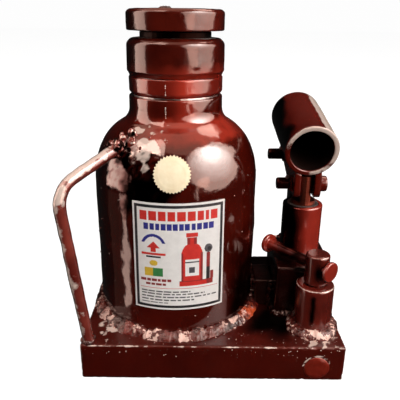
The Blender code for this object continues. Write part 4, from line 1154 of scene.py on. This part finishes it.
def build_clamp_ring():
    bottom, top = node_span("clamp_ring")
    radius, bore = node_radius("clamp_ring"), CYLINDER_BORE
    corners = [
        (bore, bottom, 0),
        (radius - 2.5, bottom, 0.8),
        (radius, bottom + 2.5, 1.2),
        (radius, top, 1.2),
        (bore, top, 0),
    ]
    run = (NECK_RUN_TURN, top, bottom, 0.8, 0.45)
    clamp_ring = hollow("painted_clamp_ring", "clamp_ring", corners, RING_PAINT, 1.0, run)
    # The ring's bright bands are painted reflection.
    mark(clamp_ring, fresh=lambda place: painted_reflection_bands(place) * 0.95)


def build_top_nut():
    bottom, top = node_span("top_nut")
    radius, bore = node_radius("top_nut"), CYLINDER_BORE
    wiper, ram_hole = node_radius("wiper_ring") + 0.3, node_radius("ram") - 0.8
    shelf = node_span("ram_cylinder")[1] + 0.3
    corners = [
        (bore, bottom, 0),
        (radius - 2.2, bottom, 0.5),
        (radius - 0.8, bottom + 3.2, 1.2),
        (radius, bottom + 4.2, 1.2),
        (radius, top - 4.0, 2.0),
        (radius - 3.6, top - 0.2, 1.6),
        (wiper, top, 0.6),
        (wiper, top - 3.4, 0),
        (ram_hole, top - 3.4, 0),
        (ram_hole, shelf, 0),
        (bore, shelf, 0),
    ]
    run = (radians(28), top, bottom + 9, 1.6, 0.3)
    nut = hollow("painted_top_nut", "top_nut", corners, NUT_PAINT, 1.5, run)

    # Redder towards the bottom of the nut, and a little redder at the right front and the left back.
    def redder_towards_bottom(place):
        side = 0.5 + 0.5 * sin(radians(side_of(place) * 2 - 20))
        return 0.5 * (1 - (place.z - bottom + 4 * ripple(place, 9, 5.3)) / 11) + 0.10 * side

    # The pale top rim is partly worn paint and partly painted highlight.
    def worn_rim_and_painted_highlight(place):
        return edge_ring(place, RAM_AXIS, radius, top, 4.5) * (0.45 + 0.9 * ripple(place, 9, 1))

    mark(nut, fresh=redder_towards_bottom, wear=worn_rim_and_painted_highlight)


def build_saddle():
    bottom, top = node_span("saddle")
    under = node_span("ram")[1] + 0.3
    radius, spigot = node_radius("saddle"), 13.7
    corners = [
        (0, bottom, 0),
        (spigot, bottom, 0.4),
        (spigot, under, 0.4),
        (radius - 0.2, under, 1.0),
        (radius, top - 2.2, 1.6),
        (radius - 3.0, top, 1.6),
        (0, top, 0),
    ]
    saddle = turned("painted_saddle", "saddle", corners, 1.6, RAM_AXIS, NUT_PAINT, "ram", segments=120)

    def rough_top(place):
        nicks = max(0.0, ripple(place, 3.2, 6.6) - 0.25)
        level = brushed(place, 1.5) - 0.9 * nicks * edge_ring(place, RAM_AXIS, radius, top)
        return level if place.z > under + 0.01 else 0.0

    # The pale top rim is partly worn paint and partly painted highlight.
    def worn_rim_and_painted_highlight(place):
        return edge_ring(place, RAM_AXIS, radius, top) * (0.5 + 0.9 * ripple(place, 8, 4))

    relief(saddle, rough_top)
    mark(saddle, wear=worn_rim_and_painted_highlight, fresh=lambda place: 0.05 + 0.16 * ripple(place, 25, 2))
    blob = RAM_AXIS + Vector((-6, -33, top - 0.3))
    lumps("saddle_paint_blob", [(blob, (5, 4, 1.4))], 2, body="ram")


# --- Pump, lever and socket ---


def build_socket():
    inner_end = SOCKET_LENGTH - SOCKET_BACK_WALL
    corners = [
        (0, SOCKET_LENGTH, 0),
        (SOCKET_RADIUS, SOCKET_LENGTH, 5.0),
        (SOCKET_RADIUS, 0, 1.5),
        (SOCKET_BORE, 0, 1.5),
        (SOCKET_BORE, inner_end, 1.0),
        (0, inner_end, 0),
    ]
    shape = {"axis": SOCKET_AXIS, "steps": 6}
    socket = turned(
        "painted_socket", "handle_socket", corners, 1.8, SOCKET_MOUTH, LEVER_PAINT, "lever", **shape
    )

    def measure(place):
        """Distance along the axis from the mouth, and the offset from the axis."""
        along = (place - SOCKET_MOUTH).dot(SOCKET_AXIS)
        return along, place - SOCKET_MOUTH - SOCKET_AXIS * along

    def height(place):
        along, around = measure(place)
        return brushed(place, 0.3 if around.length < SOCKET_BORE + 0.4 and along > 3 else 1.3)

    def wear(place):
        """The rim of the mouth is rubbed pale, with a painted highlight over its upper right, and a strip
        along the right flank is a painted highlight.
        """
        along, around = measure(place)
        offset = place - SOCKET_MOUTH
        rim = max(0.0, 1 - abs(along) / 1.8) * (0.78 + 0.25 * (offset.x + offset.z) / SOCKET_RADIUS)
        flank = (around.x * 0.88 + around.z * 0.48) / SOCKET_RADIUS
        painted_highlight_strip = 1.5 * (flank - 0.70) / 0.14 if along > 0 and around.length > SOCKET_BORE + 2 else 0.0
        return max(rim, min(1.1, painted_highlight_strip)) + 0.45 * ripple(place, 9, 3.0)

    def painted_side_shade(place):
        """Painted shade along the side that faces the bottle."""
        along, around = measure(place)
        side = -around.x / max(around.length, 1e-3) + 0.25 * ripple(place, 14, 6.0)
        return (side - 0.62) / 0.22 if along > 2.5 else 0.0

    relief(socket, height)
    mark(socket, wear=wear, soot=painted_side_shade)
    socket.data.materials.append(BORE_SHADE_PAINT)
    for face in socket.data.polygons:
        along, around = measure(face.center / MM)
        if around.length < SOCKET_BORE + 0.8 and along > 2.2:
            face.material_index = 1


def build_pump():
    bottom, top = node_span("pump_barrel")
    block_top = node_span("pump_block")[1]
    radius = node_radius("pump_barrel")
    bore, seat = node_radius("plunger") + 0.3, node_radius("plunger_wiper") + 0.3
    corners = [
        (bore, bottom, 0),
        (radius - 4.5, bottom, 0),
        (radius - 4.5, block_top + 0.2, 0),
        (radius, block_top + 0.2, 0.6),
        (radius, top, 2.8),
        (seat, top, 0.5),
        (seat, top - 5, 0),
        (bore, top - 5, 0),
    ]
    run = (radians(-14), top - 22, top - 31, 1.0, 0.5)
    barrel = hollow("painted_barrel", "pump_barrel", corners, PUMP_PAINT, 1.2, run, 96)

    def painted_side_shade(place):
        """Painted shade on the side that faces the bottle."""
        turn = side_of(place, PUMP_AXIS) + 9 * ripple(place, 16, 2.4)
        return clamp((8 - turn) / 42) * clamp((turn + 175) / 20)

    mark(barrel, soot=painted_side_shade)
    for name, node, paint, body in (
        ("painted_block", "pump_block", BLOCK_SHADE_PAINT, "root"),
        ("painted_bridge", "suction_bridge", BLOCK_SHADE_PAINT, "root"),
        ("painted_delivery_plug", "delivery_plug", PUMP_PAINT, "root"),
        ("painted_lug_left", "link_lug_left", BLOCK_SHADE_PAINT, "root"),
        ("painted_lug_right", "link_lug_right", BLOCK_SHADE_PAINT, "root"),
        ("painted_pin_c", "pin_c_link", BLOCK_SHADE_PAINT, "root"),
        ("painted_link", "fulcrum_link", BLOCK_SHADE_PAINT, "link"),
        ("painted_ear_left", "lever_ear_left", LEVER_PAINT, "lever"),
        ("painted_ear_right", "lever_ear_right", LEVER_PAINT, "lever"),
        ("painted_pin_a", "pin_a_fulcrum", LEVER_PAINT, "lever"),
        ("painted_pin_b", "pin_b_plunger", LEVER_PAINT, "lever"),
    ):
        item = painted_copy(name, node, paint, body, 1.1 if node == "pump_block" else 0.7)
        mark(item, wear=lambda place: 0.25)
        # The left ends of the pins are painted near black.
        if "painted_pin" in name:
            mark(item, soot=lambda place: 0.8 if place.x < PUMP_AXIS.x else 0.0)


# --- Release valve ---


def build_valve_housing():
    bottom, top = node_span("valve_housing")
    radius, bore = node_radius("valve_housing"), 8.4
    floor = bottom + 14
    corners = [(0, bottom, 0), (radius, bottom, 0), (radius, top, 2), (bore, top, 0.6)]
    corners += [(bore, floor, 0), (0, floor, 0)]
    boss = turned("painted_valve_housing", "valve_housing", corners, 1.6, VALVE_AXIS, VALVE_PAINT)
    run = (radians(-15), top - 4, bottom + 12, 1.7, 0.7)
    relief(boss, lambda place: brushed(place, 1.3) + paint_run(place, VALVE_AXIS, run))

    def oil_run(place):
        """A dark run of oil down the front, fading before the weld."""
        across = radians(side_of(place, VALVE_AXIS) + 14) * radius
        along = clamp(min((top - 3 - place.z) / 4, (place.z - bottom - 9) / 8))
        return bell(across + 0.8 * ripple(place, 8, 1.5), 1.9) * along

    # The pale top rim is a painted highlight; the dark run down the front is oil.
    mark(boss, wear=lambda place: 0.9 * edge_ring(place, VALVE_AXIS, radius, top, 2.4), soot=oil_run)


def build_spindle():
    spindle = painted_copy("painted_spindle", "release_spindle", VALVE_PAINT, "valve_spindle", 0.6)
    rim = node_radius("release_spindle"), node_span("release_spindle")[1]

    def painted_hole_shadow(place):
        """Painted shadow round the cross hole."""
        across = radians(side_of(place, VALVE_AXIS) + 6) * rim[0]
        return bell(across, 3.2) * bell(place.z - BAR_CENTER.z + 2, 8)

    # The pale top rim is a painted highlight.
    mark(spindle, wear=lambda place: 0.85 * edge_ring(place, VALVE_AXIS, *rim, 2), soot=painted_hole_shadow)


def build_tommy_bar():
    neck, edge = BAR_FRONT - BAR_HEAD_THICK, 1.1
    corners = [
        (0, BAR_BACK, 0),
        (BAR_HEAD_RADIUS, BAR_BACK, edge),
        (BAR_HEAD_RADIUS, BAR_BACK + BAR_HEAD_THICK, edge),
        (BAR_RADIUS, BAR_BACK + BAR_HEAD_THICK, 0.8),
        (BAR_RADIUS, neck, 0),
        (0, neck, 0),
    ]
    shape = {"axis": BAR_AXIS, "segments": 56}
    bar = turned(
        "painted_tommy_bar", "tommy_bar", corners, 1.2, BAR_CENTER, VALVE_PAINT, "tommy_bar", **shape
    )
    relief(bar, lambda place: brushed(place, 0.8))

    def darker_towards_spindle(place):
        """The bar is dark where it slides through the spindle."""
        along = (place - BAR_CENTER).dot(BAR_AXIS)
        return min(0.85, (along - BAR_BACK - 9) / 14) + 0.25 * ripple(place, 6, 2)

    def thick_back(place):
        """The paint is a little fresher on the back half of the bar than on its front."""
        return 0.35 + 0.1 * (place - BAR_CENTER).dot(BAR_AXIS) / BAR_BACK

    mark(bar, soot=darker_towards_spindle, fresh=thick_back)
    corners = [
        (0, neck + 0.1, 0),
        (BAR_HEAD_RADIUS, neck + 0.1, edge),
        (BAR_HEAD_RADIUS, BAR_FRONT, edge),
        (0, BAR_FRONT + 0.3, 0),
    ]
    head = turned(
        "painted_bar_head", "tommy_bar_head", corners, 1.2, BAR_CENTER, PUMP_PAINT, "tommy_bar", **shape
    )
    relief(head, brushed)


# --- Specks of paint, and painted highlight dashes along a run ---


def scatter(name, spots, material):
    """Tiny domes of dried paint: (place, normal, radius)."""
    builder = bmesh.new()
    for place, normal, radius in spots:
        turn = normal.to_track_quat("Z", "Y").to_matrix().to_4x4()
        shape = Matrix.Translation(place) @ turn @ Matrix.Diagonal((radius, radius, radius * 0.5, 1))
        matrix = Matrix.Scale(MM, 4) @ shape
        bmesh.ops.create_icosphere(builder, subdivisions=2, radius=1.0, matrix=matrix)
    mesh = bpy.data.meshes.new(name)
    builder.to_mesh(mesh)
    builder.free()
    dress(add_object(name, mesh), material, "root")


def build_specks():
    rng = random.Random(23)
    pale, dark = [], []
    for k in range(190):
        x = rng.uniform(BASE_LOW.x + 2, BASE_HIGH.x - 2)
        if k % 3:
            y = BASE_LOW.y + 2 + abs(rng.gauss(0, 14))
            place, normal = Vector((x, min(y, BASE_HIGH.y - 2), BASE_TOP)), UP
        else:
            z = BASE_TOP - 2 - abs(rng.gauss(0, 5))
            place, normal = Vector((x, BASE_LOW.y, max(z, BASE_LOW.z + 2))), FRONT
        (pale if k % 5 < 2 else dark).append((place, normal, rng.uniform(0.2, 0.55)))
    for k in range(170):
        turn = rng.uniform(-pi, pi)
        z = rng.uniform(BODY_BOTTOM + 8, SHOULDER_Z + 36)
        if abs(turn - LABEL_TURN) < LABEL_HALF_ANGLE * 1.08 and LABEL_BOTTOM < z < LABEL_TOP + 32:
            continue
        place = RAM_AXIS + outward(turn) * body_radius_at(z) + UP * z
        (pale if k % 7 == 0 else dark).append((place, outward(turn), rng.uniform(0.3, 0.8)))
    # Pale dashes down the run of paint on ring and neck: a painted highlight on the run.
    ring_low, ring_high = node_span("clamp_ring")
    out = outward(NECK_RUN_TURN)
    for radius, low, high in (
        (node_radius("clamp_ring"), ring_low + 3, ring_high - 3),
        (NECK_RADIUS, NECK_TOP - 17, NECK_TOP - 4),
    ):
        for k in range(int((high - low) / 0.6)):
            if rng.random() < 0.7:
                place = RAM_AXIS + out * (radius + 0.3) + UP * (low + k * 0.6)
                pale.append((place, out, rng.uniform(0.35, 0.6)))
    scatter("pale_specks_and_highlight_dashes", pale, SPECK_PAINT)
    scatter("enamel_specks", dark, BODY_PAINT)


# --- CAD nodes that stay ---

KEPT_NODES = {
    RAM_SHADE_STEEL: "ram",
    PLUNGER_STEEL: "plunger",
    STEEL: "ram_cylinder piston_washer piston_nut plunger_retainer suction_cage delivery_spring "
    "suction_ball delivery_ball release_ball split_pin_a split_pin_b split_pin_c",
    RUBBER: "gland_seal wiper_ring piston_cup_seal plunger_cup_seal plunger_wiper stem_seal filler_plug",
    BRONZE: "guide_bush piston_backup_ring suction_strainer",
    COPPER: "cylinder_gasket",
    LEVER_PAINT: "washer_pin_a washer_pin_b washer_pin_c",
}


def finish_kept_nodes():
    for material, nodes in KEPT_NODES.items():
        for node in nodes.split():
            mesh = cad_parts[node].data
            mesh.materials.clear()
            mesh.materials.append(material)


# --- Stage ---

CAMERA_PLACE = Vector((-12.3, -440.5, 294.2))
CAMERA_PITCH = radians(20.08)
CAMERA_ROLL = radians(0.63)
CAMERA_LENS = 45.19
OBJECT_MIDDLE = Vector((0, 0, 0.150))
WARM, PALE_LIGHT, ROSY = (1.0, 0.66, 0.55), (1.0, 0.93, 0.88), (1.0, 0.46, 0.34)


def build_camera():
    camera = add_object("camera", bpy.data.cameras.new("camera"))
    camera.data.lens = CAMERA_LENS
    camera.data.sensor_width = 36.0
    camera.data.clip_start = 0.01
    tilt = Matrix.Rotation(pi / 2 - CAMERA_PITCH, 4, "X") @ Matrix.Rotation(CAMERA_ROLL, 4, "Z")
    camera.matrix_world = Matrix.Translation(CAMERA_PLACE * MM) @ tilt
    bpy.context.scene.camera = camera


def add_light(name, azimuth, low, high, half_width, radiance, color, seen="glossy", oval=False, distance=2.0):
    """An upright soft light round the object. Angles in degrees; azimuth 0 is the front.

    It spans the elevations low to high as seen from the object's middle. Windows are seen only
    in the gloss of the paint, and lamps only light it, so that each can be set by itself.
    """
    out = outward(radians(azimuth))
    bottom, top = (distance * tan(radians(angle)) for angle in (low, high))
    data = bpy.data.lights.new(name, "AREA")
    data.shape = "ELLIPSE" if oval else "RECTANGLE"
    data.size = 2 * distance * tan(radians(half_width))
    data.size_y = top - bottom
    data.energy = radiance * pi * data.size * data.size_y
    data.color = color
    light = add_object(name, data)
    light.location = OBJECT_MIDDLE + out * distance + UP * (bottom + top) / 2
    light.rotation_mode = "QUATERNION"
    light.rotation_quaternion = out.to_track_quat("Z", "Y")
    light.visible_camera = False
    light.visible_diffuse = seen == "diffuse"
    light.visible_glossy = seen == "glossy"


def build_lights():
    add_light("left_window", -86, -11, 50, 17, 7.0, WARM)
    add_light("left_sill", -74, -41, -16, 5, 4.2, WARM)
    add_light("left_wall", -91, -41, -16, 12, 0.10, ROSY)
    add_light("upper_left_window", -50, 44, 70, 24, 9.0, WARM)
    add_light("right_window_near", 37, -5, 10, 8, 4.6, ROSY)
    add_light("right_frame", 30, -16, -5, 1.6, 6.0, WARM)
    add_light("right_window_far", 62, -10, 54, 46, 5.2, WARM, oval=True)
    add_light("upper_right_window", 132, 48, 66, 24, 7.0, WARM)
    for k, radiance in enumerate((1.0, 1.1, 1.3, 1.5, 1.8, 2.4, 3.4, 5.0)):
        step = 0.22 + 0.11 * k
        low, high, half = -10 + 44 * step, 54 - 3 * step, 46 - 29 * step
        near = 1.9 - 0.05 * k
        add_light(f"window_sun_{k}", 63, low, high, half, radiance, PALE_LIGHT, oval=True, distance=near)
    add_light("key", 30, 25, 62, 22, 11.5, PALE_LIGHT, "diffuse")
    add_light("back_fill", 170, 25, 60, 24, 3.0, PALE_LIGHT, "diffuse")
    ceiling = bpy.data.lights.new("ceiling", "AREA")
    ceiling.size = 3.4
    ceiling.energy = 2.0 * pi * ceiling.size**2
    ceiling.color = ROSY
    light = add_object("ceiling", ceiling)
    light.location = OBJECT_MIDDLE + UP * 2.0
    light.visible_camera = False
    light.visible_diffuse = False


def build_world():
    """White to the camera, a dim room to everything else."""
    world = bpy.data.worlds.new("studio")
    bpy.context.scene.world = world
    world.use_nodes = True
    tree = world.node_tree
    background = tree.nodes["Background"]
    background.inputs["Color"].default_value = (1, 1, 1, 1)
    path = tree.nodes.new("ShaderNodeLightPath")
    strength = tree.nodes.new("ShaderNodeMapRange")
    strength.inputs["To Min"].default_value = 0.012
    strength.inputs["To Max"].default_value = 0.985
    tree.links.new(path.outputs["Is Camera Ray"], strength.inputs["Value"])
    tree.links.new(strength.outputs["Result"], background.inputs["Strength"])


def build_floor():
    """A glowing white sheet that nothing but the camera sees."""
    reach, z = 12.0, (BASE_LOW.z - 0.2) * MM
    mesh = bpy.data.meshes.new("floor")
    corners = [(-reach, -reach, z), (reach, -reach, z), (reach, reach, z), (-reach, reach, z)]
    mesh.from_pydata(corners, [], [(0, 1, 2, 3)])
    floor = add_object("floor", mesh)
    paper = Finish("floor_paper", Roughness=0.9, Emission_Strength=0.97, Specular_IOR_Level=0.0)
    shade = paper.ramp(paper.noise(3, 2), (0.3, (0.20, 0.20, 0.20)), (0.7, (0.24, 0.24, 0.24)))
    paper.feed(paper.shader, Base_Color=shade, Emission_Color=(1, 1, 1))
    mesh.materials.append(paper.material)
    floor.visible_diffuse = False
    floor.visible_glossy = False
    floor.visible_shadow = False


build_base()
build_plugs()
build_reservoir()
build_welds()
build_handle()
build_handle_welds()
build_label()
build_seal()
build_clamp_ring()
build_top_nut()
build_saddle()
build_socket()
build_pump()
build_valve_housing()
build_spindle()
build_tommy_bar()
build_specks()
finish_kept_nodes()
build_camera()
build_lights()
build_world()
build_floor()
bpy.context.scene.view_settings.view_transform = "Standard"
